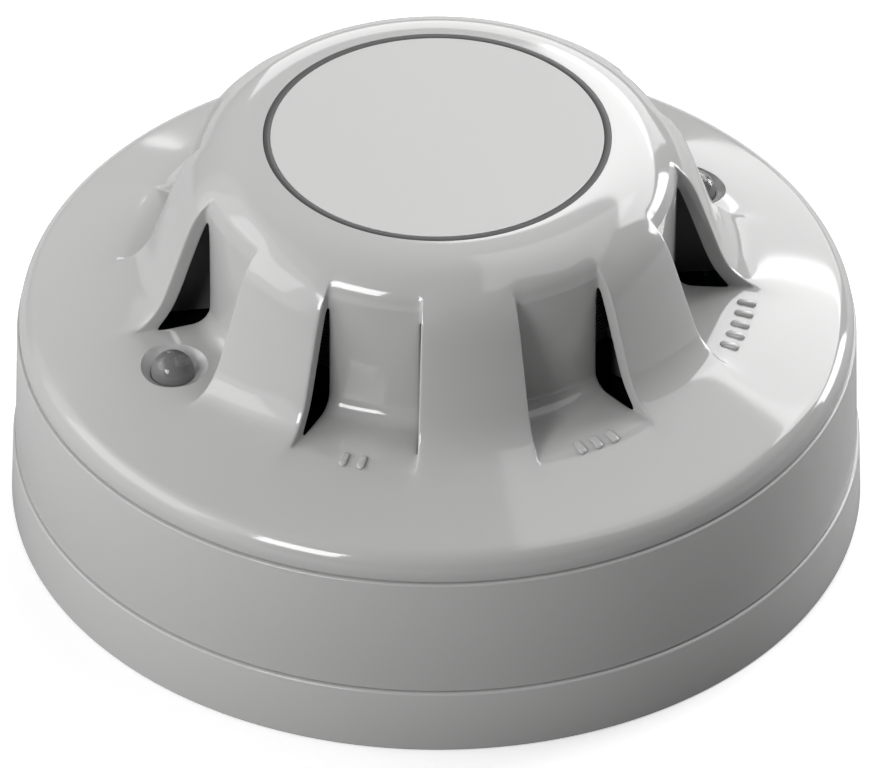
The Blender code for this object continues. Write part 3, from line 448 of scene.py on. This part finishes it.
def finishPiece(obj, look, body, slot, *nodes):
    obj.data.materials.clear()
    obj.data.materials.append(looks[look])
    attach(obj, body)
    if nodes:
        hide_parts(*nodes)
    return obj


# the cover repeats round its axis: each share is a bay with half a rib to each side
cover = {
    "wall": 1.85,
    "shoulder": 3.0,
    "rimHeight": 0.6,
    "flangeSlope": 19.0,
    "floorHeight": 6.6,
    "ribSlope": 70.7,
    "ribFoot": 34.6,
    "flare": 6.5,
    "domeEdge": 9.8,
    "bays": 8,
    "bayHalf": 11.5,
    "bayWall": 27.65,
    "wallThick": 1.5,
    "floorThick": 1.8,
    "fillet": 2.2,
    "softEdge": 1.5,
    "wallEnd": 0.8,
    "ribEdge": 0.3,
    "slotEdge": 0.25,
    "ring": 19.6,
    "ringGroove": 0.88,
    "ringDepth": 0.55,
    "pocket": 4.0,
    "pocketDepth": 1.0,
    "pipeHole": 2.58,
    "lensCircle": 34.9,
    "lipThick": 1.4,
    "lipDepth": 3.6,
    "lipGap": 0.3,
    "seam": 0.12,
    "skirtDraft": 0.5,
    "skirtWall": 1.9,
    "flangeLift": 0.3,
    "sharpBend": 27.0,
}
coverTop = highOf("outer_cover").z
skirtTop = highOf("head_housing").z
coverBottom = skirtTop + cover["seam"]
skirtRadius = highOf("head_housing").x - cover["skirtDraft"]
rimRadius = highOf("outer_cover").x
bayFloor = skirtTop + cover["flangeLift"] + cover["floorHeight"]


def coverCorners():
    slope = math.radians(cover["ribSlope"])
    ribDir = Vector((math.cos(slope), -math.sin(slope)))
    ribPoint = Vector((cover["ribFoot"], bayFloor))
    fall = math.radians(cover["flangeSlope"])
    flangeDir = Vector((math.cos(fall), -math.sin(fall)))
    shoulder = Vector((rimRadius - cover["shoulder"], skirtTop + cover["flangeLift"] + cover["rimHeight"]))
    flangePoint = shoulder + Vector((math.sin(fall), math.cos(fall))) * cover["shoulder"]
    top = crossing(ribPoint, ribDir, Vector((0.0, coverTop)), Vector((1.0, 0.0)))
    foot = crossing(ribPoint, ribDir, flangePoint, flangeDir)
    rim = crossing(flangePoint, flangeDir, Vector((rimRadius, 0.0)), Vector((0.0, 1.0)))
    return [
        (0.0, coverTop),
        (top.x, top.y, cover["domeEdge"]),
        (foot.x, foot.y, cover["flare"]),
        (rim.x, rim.y, cover["shoulder"]),
        (rimRadius, coverBottom),
    ]


# The runs of points that bound the cover's patches
def coverOutlines():
    outer = rounded(coverCorners())
    inner = rounded(offsetCorners(coverCorners(), cover["wall"]))
    floorLow = bayFloor - cover["floorThick"]
    wallBack = cover["bayWall"] - cover["wallThick"]
    dome, rest = splitAt(outer, 0, cover["bayWall"])
    dome = [p for p in dome[:-1] if (p - dome[-1]).length > cover["softEdge"] * 1.4] + dome[-1:]
    rib, flange = splitAt(rest, 1, bayFloor)
    innerDome, rest = splitAt(inner, 0, wallBack)
    rest = splitAt(rest, 0, cover["bayWall"])[1]
    ribInner, rest = splitAt(rest, 1, bayFloor)
    innerFoot, innerFlange = splitAt(rest, 1, floorLow)

    top, slotTop, slotEnd, foot = rib[0], ribInner[0], ribInner[-1], rib[-1]
    fillet = cover["fillet"]
    wallFace = rounded([slotTop, (cover["bayWall"], bayFloor, fillet), slotEnd], step=18.0)
    wallFace = spaced([slotTop, wallFace[1]], 3) + wallFace[2:-1] + spaced([wallFace[-2], slotEnd], 2)[1:]
    start, end = innerDome[-1], innerFoot[-1]
    backFace = rounded([start, (wallBack, floorLow, fillet * 0.5), end], step=18.0)
    backFace = spaced([start, backFace[1]], 3) + backFace[2:-1] + spaced([backFace[-2], end], 2)[1:]
    sideRows, slotRows = 2, 6
    upper = spaced([top, slotTop], sideRows)
    lower = spaced([slotEnd, foot], sideRows)
    slot = spaced(ribInner, slotRows)
    lip = skirtTop - cover["lipDepth"]
    lipOuter = skirtRadius - cover["skirtWall"] - cover["lipGap"]
    lipInner = lipOuter - cover["lipThick"]
    innerFlange = splitAt(innerFlange, 0, lipInner)[0]
    return {
        "dome": dome,
        "rib": spaced(rib, 2 * sideRows + slotRows),
        "flange": flange,
        "bay": upper + wallFace[1:] + lower[1:],
        "upper": upper,
        "slot": slot,
        "lower": lower,
        "wallFace": wallFace,
        "backFace": backFace,
        "innerDome": innerDome,
        "innerRib": [start, slotTop] + slot[1:] + [end],
        "innerFlange": innerFlange,
        "lip": [Vector((rimRadius, coverBottom)), Vector((lipOuter, coverBottom)), Vector((lipOuter, lip)),
                Vector((lipInner, lip)), innerFlange[-1]],
    }


# One half share, mirrored, then copied round the axis and rounded off
def buildCover():
    lines = coverOutlines()
    half = cover["bayHalf"]
    rib = 180.0 / cover["bays"]
    columns = 3
    bayAngles = [half * k / columns for k in range(columns + 1)]
    ribAngles = [half + (rib - half) * k / columns for k in range(columns + 1)]
    allAngles = bayAngles + ribAngles[1:]
    groove = cover["ringGroove"] / 2
    ring = cover["ring"]
    deep = coverTop - cover["ringDepth"]
    dome = lines["dome"]
    grooveRun = [Vector(p) for p in (
        (0.0, coverTop), (ring * 0.5, coverTop), (ring - groove - 0.6, coverTop), (ring - groove, coverTop),
        (ring - groove, deep), (ring + groove, deep), (ring + groove, coverTop))]
    dome = grooveRun + [p for p in dome if p.x > ring + groove + 0.3]
    bm = bmesh.new()
    weight = bm.edges.layers.float.new("bevel_weight_edge")
    crease = bm.edges.layers.float.new("crease_edge")

    def grid(points, angles):
        runs = [[bm.verts.new(polar(p.x, a, p.y) * mm) for p in points] for a in angles]
        for a, b in zip(runs, runs[1:]):
            for i in range(len(points) - 1):
                corners = [a[i], a[i + 1], b[i + 1], b[i]]
                if points[i].x == 0.0:
                    corners = corners[:3]
                if points[i + 1].x == 0.0:
                    corners = [a[i], a[i + 1], b[i]]
                bm.faces.new(corners)

    def ladder(runA, runB, angle):
        a = [bm.verts.new(polar(p.x, angle, p.y) * mm) for p in runA]
        b = [bm.verts.new(polar(p.x, angle, p.y) * mm) for p in runB]
        for i in range(len(a) - 1):
            corners = [a[i], a[i + 1], b[i + 1], b[i]]
            if (a[i].co - b[i].co).length < 1e-7:
                corners = corners[:3]
            if (a[i + 1].co - b[i + 1].co).length < 1e-7:
                corners = [a[i], a[i + 1], b[i]]
            bm.faces.new(corners)

    grid(dome, allAngles)
    grid(lines["bay"], bayAngles)
    grid(lines["rib"], ribAngles)
    grid(lines["flange"] + lines["lip"][1:], allAngles)
    grid(lines["innerDome"], allAngles)
    grid(lines["backFace"], bayAngles)
    grid(lines["innerRib"], ribAngles)
    grid(lines["innerFlange"], allAngles)
    ladder(lines["rib"], lines["upper"] + lines["slot"][1:] + lines["lower"][1:], half)
    ladder(lines["wallFace"], lines["backFace"], half)
    bmesh.ops.remove_doubles(bm, verts=bm.verts[:], dist=0.00001)
    mirrored = bmesh.ops.duplicate(bm, geom=bm.verts[:] + bm.edges[:] + bm.faces[:])["geom"]
    verts = [g for g in mirrored if isinstance(g, bmesh.types.BMVert)]
    bmesh.ops.scale(bm, vec=(1.0, -1.0, 1.0), verts=verts)
    sector = bm.verts[:] + bm.edges[:] + bm.faces[:]
    for bay in range(1, cover["bays"]):
        copy = bmesh.ops.duplicate(bm, geom=sector)["geom"]
        verts = [g for g in copy if isinstance(g, bmesh.types.BMVert)]
        turn = Matrix.Rotation(math.tau * bay / cover["bays"], 3, "Z")
        bmesh.ops.rotate(bm, verts=verts, cent=(0, 0, 0), matrix=turn)
    bmesh.ops.remove_doubles(bm, verts=bm.verts[:], dist=0.00001)
    bmesh.ops.recalc_face_normals(bm, faces=bm.faces[:])
    markEdges(bm, weight, crease, lines)
    obj = objectOf(bm, "outer_cover_shell", normals=False)

    bevel = obj.modifiers.new("Edges", "BEVEL")
    bevel.limit_method = "WEIGHT"
    bevel.width = cover["softEdge"] * mm
    bevel.segments = 2
    bevel.use_clamp_overlap = False
    smooth = obj.modifiers.new("Smooth", "SUBSURF")
    smooth.levels = smooth.render_levels = 2
    for angle in (0.0, 180.0):
        boolean(obj, pocketCutter(angle))
    return applyAll(obj)


# Sets how far each sharp edge is rounded
def markEdges(bm, weight, crease, lines):
    step = 360.0 / cover["bays"]
    top, slotTop = lines["rib"][0], lines["slot"][0]
    ring, groove = cover["ring"], cover["ringGroove"] / 2
    for edge in bm.edges:
        if len(edge.link_faces) != 2:
            continue
        bend = math.degrees(edge.calc_face_angle(0.0))
        if bend < cover["sharpBend"]:
            continue
        ends = [v.co / mm for v in edge.verts]
        radii = [v.xy.length for v in ends]
        angles = [abs((math.degrees(math.atan2(v.y, v.x)) + step / 2) % step - step / 2) for v in ends]
        onSide = all(abs(a - cover["bayHalf"]) < 0.05 for a in angles)
        if abs(sum(radii) / 2 - ring) < groove * 1.5:
            edge[crease] = 1.0
            continue
        onWall = all(abs(r - cover["bayWall"]) < 0.05 for r in radii)
        size = cover["slotEdge"]
        if onSide:
            outerSide = any(abs(r - cover["bayWall"]) > 0.2 for r in radii)
            size = cover["ribEdge"] if outerSide else cover["slotEdge"]
            if onWall and max(v.z for v in ends) < slotTop.y + 0.1:
                size = cover["wallEnd"]
        elif onWall and all(abs(v.z - top.y) < 0.05 for v in ends):
            size = cover["softEdge"]
        edge[weight] = size / cover["softEdge"]


# The dish round a lens and the hole that the lens stands in
def pocketCutter(angle):
    rim, hole = cover["pocket"], cover["pipeHole"]
    low = bayFloor - cover["pocketDepth"]
    dish = [(rim + 0.5, bayFloor + 0.5), (rim + 0.12, bayFloor + 0.04), (rim - 0.1, bayFloor - 0.16),
            (rim - 0.45, bayFloor - 0.5), (rim - 0.95, bayFloor - 0.82), (hole + 0.1, low), (hole, low - 0.1)]
    outline = [(0.0, bayFloor + 0.5), *dish, (hole, bayFloor - 5.0), (0.0, bayFloor - 5.0)]
    return turned("pocket", outline, 64, polar(cover["lensCircle"], angle))


shell = finishPiece(buildCover(), "coverWhite", "head", "cover_white", "outer_cover")
shell.data.materials.append(looks["discWhite"])
for face in shell.data.polygons:
    if face.center.xy.length < cover["ring"] * mm and face.center.z > (coverTop - cover["ringDepth"]) * mm:
        face.material_index = 1
print("cover built:", len(shell.data.polygons), "faces")


# raised marks on three bay floors
marks = {
    "length": 2.3, "width": 0.9, "height": 0.26, "root": 0.1, "circle": 36.2, "spread": 3.3, "edge": 0.17,
    "bays": {225.0: 2, 270.0: 3, 315.0: 5},
}


# Short raised bars, each pointing away from the middle
def buildMarks():
    bm = bmesh.new()
    half = marks["width"] / 2
    end = marks["length"] / 2 - half
    steps = 12
    turns = [math.pi * k / steps for k in range(steps + 1)]
    arc = [(half * math.sin(turn), -half * math.cos(turn)) for turn in turns]
    outline = [Vector((end + x, y)) for x, y in arc] + [Vector((-end - x, -y)) for x, y in arc]
    for bay, count in marks["bays"].items():
        for i in range(count):
            turn = bay + (i - (count - 1) / 2) * marks["spread"]
            place = Matrix.Rotation(math.radians(turn), 3, "Z")
            top, edge = bayFloor + marks["height"], marks["edge"]
            rings = []
            for inset, high in ((0.0, bayFloor - marks["root"]), (0.0, top - edge),
                                (edge * 0.3, top - edge * 0.3), (edge, top)):
                share = 1.0 - inset / half
                spots = [Vector((marks["circle"] + p.x * share, p.y * share, high)) for p in outline]
                rings.append([bm.verts.new(place @ spot * mm) for spot in spots])
            for a, b in zip(rings, rings[1:]):
                for k in range(len(a)):
                    bm.faces.new((a[k - 1], a[k], b[k], b[k - 1]))
            bm.faces.new(rings[0])
            bm.faces.new(rings[-1])
    return finishPiece(applyAll(objectOf(bm, "bay_floor_marks"), 50.0), "coverWhite", "head", "cover_white")


buildMarks()

# the identification ring in the dome's top
ringPiece = {"width": 0.82, "depth": 0.5, "edge": 0.06, "sunk": 0.03}


def buildRing():
    half = ringPiece["width"] / 2
    inner, outer = cover["ring"] - half, cover["ring"] + half
    top = coverTop - ringPiece["sunk"]
    low = coverTop - ringPiece["depth"]
    edge = ringPiece["edge"]
    outline = rounded([(inner, top, edge), (outer, top, edge), (outer, low), (inner, low)],
                      closed=True, step=30.0)
    obj = applyAll(turned("ring_inlay", outline, 256))
    return finishPiece(obj, "ringGrey", "head", "ring_grey", "identification_ring")


buildRing()

# the white skirt, the rear plate and what is moulded on it
housing = {
    "height": 14.9, "draft": 0.5, "wall": 1.9, "edge": 0.22, "plateLift": 1.2, "plate": 1.8,
    "collar": 45.4, "collarWall": 1.8, "collarLow": 2.6, "lugWidth": 14.0, "lugReach": 2.1,
    "lugLow": 3.0, "lugThick": 1.6, "bossDepth": 3.5, "bossWidth": 6.0, "pillars": (90.0, 195.0, 285.0),
    "pillarCircle": 36.0, "pillarRadius": 3.0, "pillarGap": 0.3, "bladeTurn": 10.0, "bladeSlot": (1.4, 6.2),
    "skirtDrop": 0.16, "sunk": 0.9, "bossLift": 0.05, "screwDepth": 7.0,
}
lockAngles = (20.0, 150.0, 260.0)
lineTerminals = (40.0, 140.0, 220.0, 320.0)
terminalCircle = 33.0
lockScrew = {"angle": 60.0, "height": 4.4, "hole": 1.55, "past": 1.0}


def buildHousing():
    radius = highOf("head_housing").x
    topRadius = radius - housing["draft"]
    low = skirtTop - housing["height"]
    skirtLow = low - housing["skirtDrop"]
    plateLow = low + housing["plateLift"]
    plateTop = plateLow + housing["plate"]
    collar, collarLow = housing["collar"], housing["collarLow"]
    collarInner = collar - housing["collarWall"]
    edge = housing["edge"]
    inner = topRadius - housing["wall"]
    lowInner = radius - housing["wall"]
    outline = rounded([
        (0.0, plateTop), (inner, plateTop, 0.8), (inner, skirtTop, edge), (topRadius, skirtTop, edge),
        (radius, skirtLow, edge), (lowInner, skirtLow, edge), (lowInner, plateLow, 0.4),
        (collar, plateLow, 0.4), (collar, collarLow, 0.3), (collarInner, collarLow, 0.3),
        (collarInner, plateLow, 0.5), (0.0, plateLow),
    ], step=22.0)
    obj = turned("housing_moulding", outline, 240)

    bm = bmesh.new()
    sunk = housing["sunk"]  # how far a fitting reaches into what it stands on
    lugInner, lugOuter = collar - sunk, collar + housing["lugReach"]
    lugLow = housing["lugLow"]
    lugTop = lugLow + housing["lugThick"]
    lug = rounded([(lugOuter, lugTop, 0.3), (lugOuter, lugLow, 0.3), (lugInner, lugLow), (lugInner, lugTop)],
                  closed=True, step=30.0)
    for angle in lockAngles:
        addSector(bm, lug, angle, housing["lugWidth"], 8)
    bossLow = collarLow + housing["bossLift"]
    bossHeight = plateLow + sunk - bossLow
    bossMiddle = collar - sunk - housing["bossDepth"] / 2
    addBox(bm, (housing["bossDepth"], housing["bossWidth"], bossHeight),
           polar(bossMiddle, lockScrew["angle"], bossLow + bossHeight / 2), lockScrew["angle"])
    pillarTop = lowOf("circuit_board").z - housing["pillarGap"]
    for angle in housing["pillars"]:
        addRod(bm, housing["pillarRadius"], polar(housing["pillarCircle"], angle, plateTop - sunk),
               polar(housing["pillarCircle"], angle, pillarTop))
    boolean(obj, objectOf(bm, "fittings"), "UNION")

    bm = bmesh.new()
    across, along = housing["bladeSlot"]
    for angle in lineTerminals:
        turn = angle + housing["bladeTurn"]
        addBox(bm, (across, along, 4.0), polar(terminalCircle, turn, plateLow + housing["plate"] / 2), turn)
    deepest, past = collar - housing["screwDepth"], collar + lockScrew["past"]
    addRod(bm, lockScrew["hole"], polar(deepest, lockScrew["angle"], lockScrew["height"]),
           polar(past, lockScrew["angle"], lockScrew["height"]))
    boolean(obj, objectOf(bm, "openings"))
    return finishPiece(applyAll(obj), "housingWhite", "head", "housing_white", "head_housing")


buildHousing()
print("housing built")

# the mounting base with its twist-lock tabs, stops and terminal platforms
base = {
    "draft": 0.35, "wall": 1.65, "floor": 2.0, "edge": 0.28, "cableHole": 22.0, "holeWall": 1.5,
    "holeHeight": 5.0, "slotNear": 25.5, "slotFar": 34.5, "slotWidth": 5.0, "tabWidth": 16.0,
    "tabReach": 2.1, "tabLow": 5.2, "tabThick": 1.6, "stopWidth": 2.0, "stopSpace": 0.5,
    "platform": (9.5, 24.0), "earthPlatform": (9.5, 10.0), "platformTop": 3.4, "earth": 184.0,
    "screwShift": 4.6, "screwHole": 2.0, "screwEnd": 1.0, "slotCut": (-3.0, 5.0),
}


def fixingSlot(side):
    half = base["slotWidth"] / 2
    near, far = base["slotNear"] - half, base["slotFar"] + half
    corners = [(-half, side * near), (half, side * near), (half, side * far), (-half, side * far)]
    outline = rounded([(x, y, half * 0.99) for x, y in corners], closed=True, step=10.0)
    bm = bmesh.new()
    low, high = base["slotCut"]
    face = bm.faces.new([bm.verts.new(Vector((p.x, p.y, low)) * mm) for p in outline])
    rim = bmesh.ops.extrude_face_region(bm, geom=[face])["geom"]
    verts = [g for g in rim if isinstance(g, bmesh.types.BMVert)]
    bmesh.ops.translate(bm, verts=verts, vec=(0, 0, (high - low) * mm))
    return objectOf(bm, f"slot{side}")


def buildBase():
    radius, height = highOf("mounting_base").x, highOf("mounting_base").z
    topRadius = radius - base["draft"]
    inner = topRadius - base["wall"]
    hole, floor, edge = base["cableHole"], base["floor"], base["edge"]
    outline = rounded([
        (topRadius, height, edge), (radius, 0.0, edge), (hole, 0.0, 0.4),
        (hole, base["holeHeight"], 0.3), (hole + base["holeWall"], base["holeHeight"], 0.3),
        (hole + base["holeWall"], floor, 0.6), (inner, floor, 0.8), (inner, height, edge),
    ], closed=True, step=22.0)
    obj = turned("base_moulding", outline, 240)
    outer = inner + base["wall"] / 2
    tabInner, tabLow = inner - base["tabReach"], base["tabLow"]
    tabTop = tabLow + base["tabThick"]
    for angle in lockAngles:
        stopTurn = angle - (base["tabWidth"] + base["stopWidth"]) / 2 - base["stopSpace"]
        tab, stop = (tabLow, angle, base["tabWidth"]), (floor / 2, stopTurn, base["stopWidth"])
        for low, middle, width in (tab, stop):
            bm = bmesh.new()
            section = rounded([(outer, tabTop), (outer, low), (tabInner, low, 0.3), (tabInner, tabTop, 0.3)],
                              closed=True, step=30.0)
            addSector(bm, section, middle, width, max(1, round(width)))
            boolean(obj, objectOf(bm, "tab"), "UNION")
    holes = bmesh.new()
    top = base["platformTop"]
    for angle in (*lineTerminals, base["earth"]):
        across, along = base["earthPlatform"] if angle == base["earth"] else base["platform"]
        bm = bmesh.new()
        middle = polar(terminalCircle, angle, (top + floor / 2) / 2)
        addBox(bm, (across, along, top - floor / 2), middle, angle)
        boolean(obj, objectOf(bm, "platform"), "UNION")
        spot = polar(terminalCircle, angle)
        if angle != base["earth"]:
            spot += polar(base["screwShift"], angle - 90.0)
        up = Vector((0.0, 0.0, 1.0))
        addRod(holes, base["screwHole"], spot + up * base["screwEnd"], spot + up * (top + 1.0))
    past = lockScrew["past"]
    addRod(holes, lockScrew["hole"], polar(inner - past, lockScrew["angle"], lockScrew["height"]),
           polar(radius + past, lockScrew["angle"], lockScrew["height"]))
    boolean(obj, objectOf(holes, "holes"))
    for side in (-1, 1):
        boolean(obj, fixingSlot(side))
    return finishPiece(applyAll(obj), "baseWhite", "base", "base_white", "mounting_base")


buildBase()
print("base built")

# the two indicator lenses
lens = {"radius": 2.5, "stands": 1.7, "collar": 3.2, "collarThick": 1.0, "stem": 2.0, "edge": 0.2, "gap": 0.3}


def buildLens(index, angle):
    node = f"light_pipe_{index}"
    top, low = highOf(node).z, lowOf(node).z
    radius, stands = lens["radius"], lens["stands"]
    # a sphere's cap on a short straight side
    rise = stands + cover["pocketDepth"] - lens["gap"]
    ball = (radius * radius + rise * rise) / (2 * rise)
    middle = top - ball
    reach = math.asin(min(1.0, radius / ball)) if rise <= radius else math.pi - math.asin(radius / ball)
    turns = [reach * k / 20 for k in range(21)]
    outline = [(ball * math.sin(turn), middle + ball * math.cos(turn)) for turn in turns]
    step = bayFloor - cover["floorThick"] - lens["gap"]
    collar, stem, edge = lens["collar"], lens["stem"], lens["edge"]
    collarLow = step - lens["collarThick"]
    outline += [(radius, step), (collar, step), (collar, collarLow), (stem, collarLow - edge),
                (stem, low + edge), (stem - edge, low), (0.0, low)]
    obj = turned(f"lens_{index}", outline, 64, polar(cover["lensCircle"], angle))
    return finishPiece(applyAll(obj), "clearLens", "head", "clear_lens", node)


for lensIndex, lensAngle in ((1, 0.0), (2, 180.0)):
    buildLens(lensIndex, lensAngle)

# a finely ribbed black ring behind the vents, with a baffle in each hollow rib
screen = {
    "pitch": 0.5, "groove": 0.22, "wall": 0.8,
    "finThick": 1.2, "finCircle": 30.0, "finDrop": 4.9, "finGap": 0.35, "finRoot": 0.5,
}


def buildScreen():
    radius, top = highOf("insect_screen").x, highOf("insect_screen").z
    low = lowOf("insect_screen").z
    count = round((top - low) / screen["pitch"])
    pitch = (top - low) / count
    bottom = radius - screen["groove"]
    outer = []
    for i in range(count):
        high = top - i * pitch
        outer += [(radius, high), (radius, high - pitch * 0.45),
                  (bottom, high - pitch * 0.6), (bottom, high - pitch * 0.9)]
    outline = outer + [(radius, low), (radius - screen["wall"], low), (radius - screen["wall"], top)]
    obj = applyAll(turned("ribbed_screen", outline, 128))
    finishPiece(obj, "screenBlack", "head", "screen_black", "insect_screen")

    # a baffle stands in each hollow rib, close to the rib's inner face
    inner = rounded(offsetCorners(coverCorners(), cover["wall"] + screen["finGap"]))
    inner = [p for p in inner if p.x > radius]
    inner = splitAt(inner, 1, highOf("chamber_tray").z - screen["finDrop"])[0]
    root = radius - screen["finRoot"]
    outline = [(root, inner[0].y), *inner, (root, inner[-1].y)]
    bm = bmesh.new()
    width = math.degrees(screen["finThick"] / screen["finCircle"])
    step = 360.0 / cover["bays"]
    for k in range(cover["bays"]):
        addSector(bm, outline, step * (k + 0.5), width, 1)
    return finishPiece(applyAll(objectOf(bm, "rib_baffles")), "baffleGrey", "head", "screen_black")


buildScreen()
print("small parts built")

# camera, floor and lights
studio = {
    "distance": 1100.0, "elevation": 37.434, "turn": -30.0, "pitch": 0.454, "roll": 0.19,
    "lens": 390.05, "aim": 25.0,
    "floorSize": 3.0, "floorWhite": 0.96, "floorGlow": 0.3, "floorMirrored": 0.5, "floorBounce": 0.17,
    "world": 0.045, "lightDistance": 1400.0, "lightStep": 10.0,
    # direction and height in degrees seen with the camera at 270, width and height in mm, watts
    "lights": {
        "left": (183.0, 28.0, 2700.0, 1500.0, 7.0),
        "leftMiddle": (183.0, 28.0, 1900.0, 1050.0, 5.5),
        "leftInner": (182.0, 29.0, 1100.0, 600.0, 4.0),
        "frontLeft": (234.0, 30.0, 500.0, 460.0, 8.5),
        "right": (56.0, 35.0, 1400.0, 600.0, 13.5),
        "rightLow": (80.0, 18.0, 1300.0, 520.0, 5.2),
        "rightSide": (34.0, 9.0, 500.0, 500.0, 7.5),
        "rightHigh": (12.0, 62.0, 1500.0, 1000.0, 6.0),
    },
}


# Stands the camera at its distance and height from the detector's middle
def buildCamera():
    data = bpy.data.cameras.new("camera")
    data.lens = studio["lens"]
    data.sensor_width = 36.0
    data.clip_end = 10.0
    data.dof.use_dof = False
    camera = bpy.data.objects.new("camera", data)
    bpy.context.scene.collection.objects.link(camera)
    rise = math.radians(studio["elevation"])
    at = Vector((0.0, -math.cos(rise), math.sin(rise))) * studio["distance"]
    at += Vector((0.0, 0.0, studio["aim"]))
    view = Matrix.Rotation(math.pi / 2 - rise, 4, "X")
    view @= Matrix.Rotation(math.radians(-studio["pitch"]), 4, "X")
    view @= Matrix.Rotation(math.radians(studio["roll"]), 4, "Z")
    turn = Matrix.Rotation(math.radians(studio["turn"]), 4, "Z")
    camera.matrix_world = turn @ Matrix.Translation(at * mm) @ view
    bpy.context.scene.camera = camera


# A softbox that faces the detector
def addLight(name, direction, rise, width, height, watts):
    data = bpy.data.lights.new(name, "AREA")
    data.shape = "RECTANGLE"
    data.size, data.size_y = width * mm, height * mm
    data.energy = watts
    light = bpy.data.objects.new(name, data)
    bpy.context.scene.collection.objects.link(light)
    # each one stands behind the one before, so that no two lie in one plane
    distance = studio["lightDistance"] + studio["lightStep"] * len(bpy.data.lights)
    up = math.radians(rise)
    at = polar(distance * math.cos(up), direction + studio["turn"], distance * math.sin(up)) * mm
    light.location = at
    light.rotation_euler = (at - Vector((0, 0, studio["aim"])) * mm).to_track_quat("Z", "Y").to_euler()


def grey(value):
    return (value, value, value)


# A pale floor: what the camera sees is lighter than what it throws back on the detector
def buildStudio():
    bm = bmesh.new()
    bmesh.ops.create_grid(bm, x_segments=1, y_segments=1, size=studio["floorSize"])
    floor = objectOf(bm, "floor")
    material, tree, shader = newMaterial("floorWhite")
    shade = noiseNode(tree, 3.0)
    white = studio["floorWhite"]
    rays = tree.nodes.new("ShaderNodeLightPath")
    byCamera, byGloss = rays.outputs["Is Camera Ray"], rays.outputs["Is Glossy Ray"]
    seen = mixColour(tree, shade.outputs["Fac"], grey(white), grey(white - 0.01))
    unseen = mixColour(tree, byGloss, grey(studio["floorBounce"]), grey(studio["floorMirrored"]))
    tree.links.new(mixColour(tree, byCamera, unseen, seen), shader.inputs["Base Color"])
    glow = mixColour(tree, byCamera, grey(0.0), grey(studio["floorGlow"]))
    tree.links.new(glow, shader.inputs["Emission Color"])
    shader.inputs["Emission Strength"].default_value = 1.0
    shader.inputs["Roughness"].default_value = 0.8
    floor.data.materials.append(material)
    world = bpy.data.worlds.new("studio")
    world.use_nodes = True
    world.node_tree.nodes["Background"].inputs["Color"].default_value = (1, 1, 1, 1)
    world.node_tree.nodes["Background"].inputs["Strength"].default_value = studio["world"]
    bpy.context.scene.world = world
    for name, values in studio["lights"].items():
        addLight(name, *values)
    bpy.context.scene.view_settings.view_transform = "Standard"


buildCamera()
buildStudio()
print("studio set")

slotLooks = {
    "cover_white": "coverWhite", "housing_white": "housingWhite", "base_white": "baseWhite",
    "ring_grey": "ringGrey", "black_plastic": "chipBlack", "screen_black": "screenBlack",
    "clear_lens": "clearLens", "lamp_epoxy": "lampEpoxy", "board_green": "boardLacquer",
    "plated_steel": "platedSteel", "sprung_metal": "sprungBronze", "bead_coating": "beadBrown",
    "tube_glass": "tubeGlass",
}
for node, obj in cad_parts.items():
    if node == "chamber_tray":
        obj.material_slots[0].material = looks["trayBlack"]
        continue
    for holder in obj.material_slots:
        key = next((k for k in slotLooks if k in holder.material.name), None)
        if key:
            holder.material = looks[slotLooks[key]]
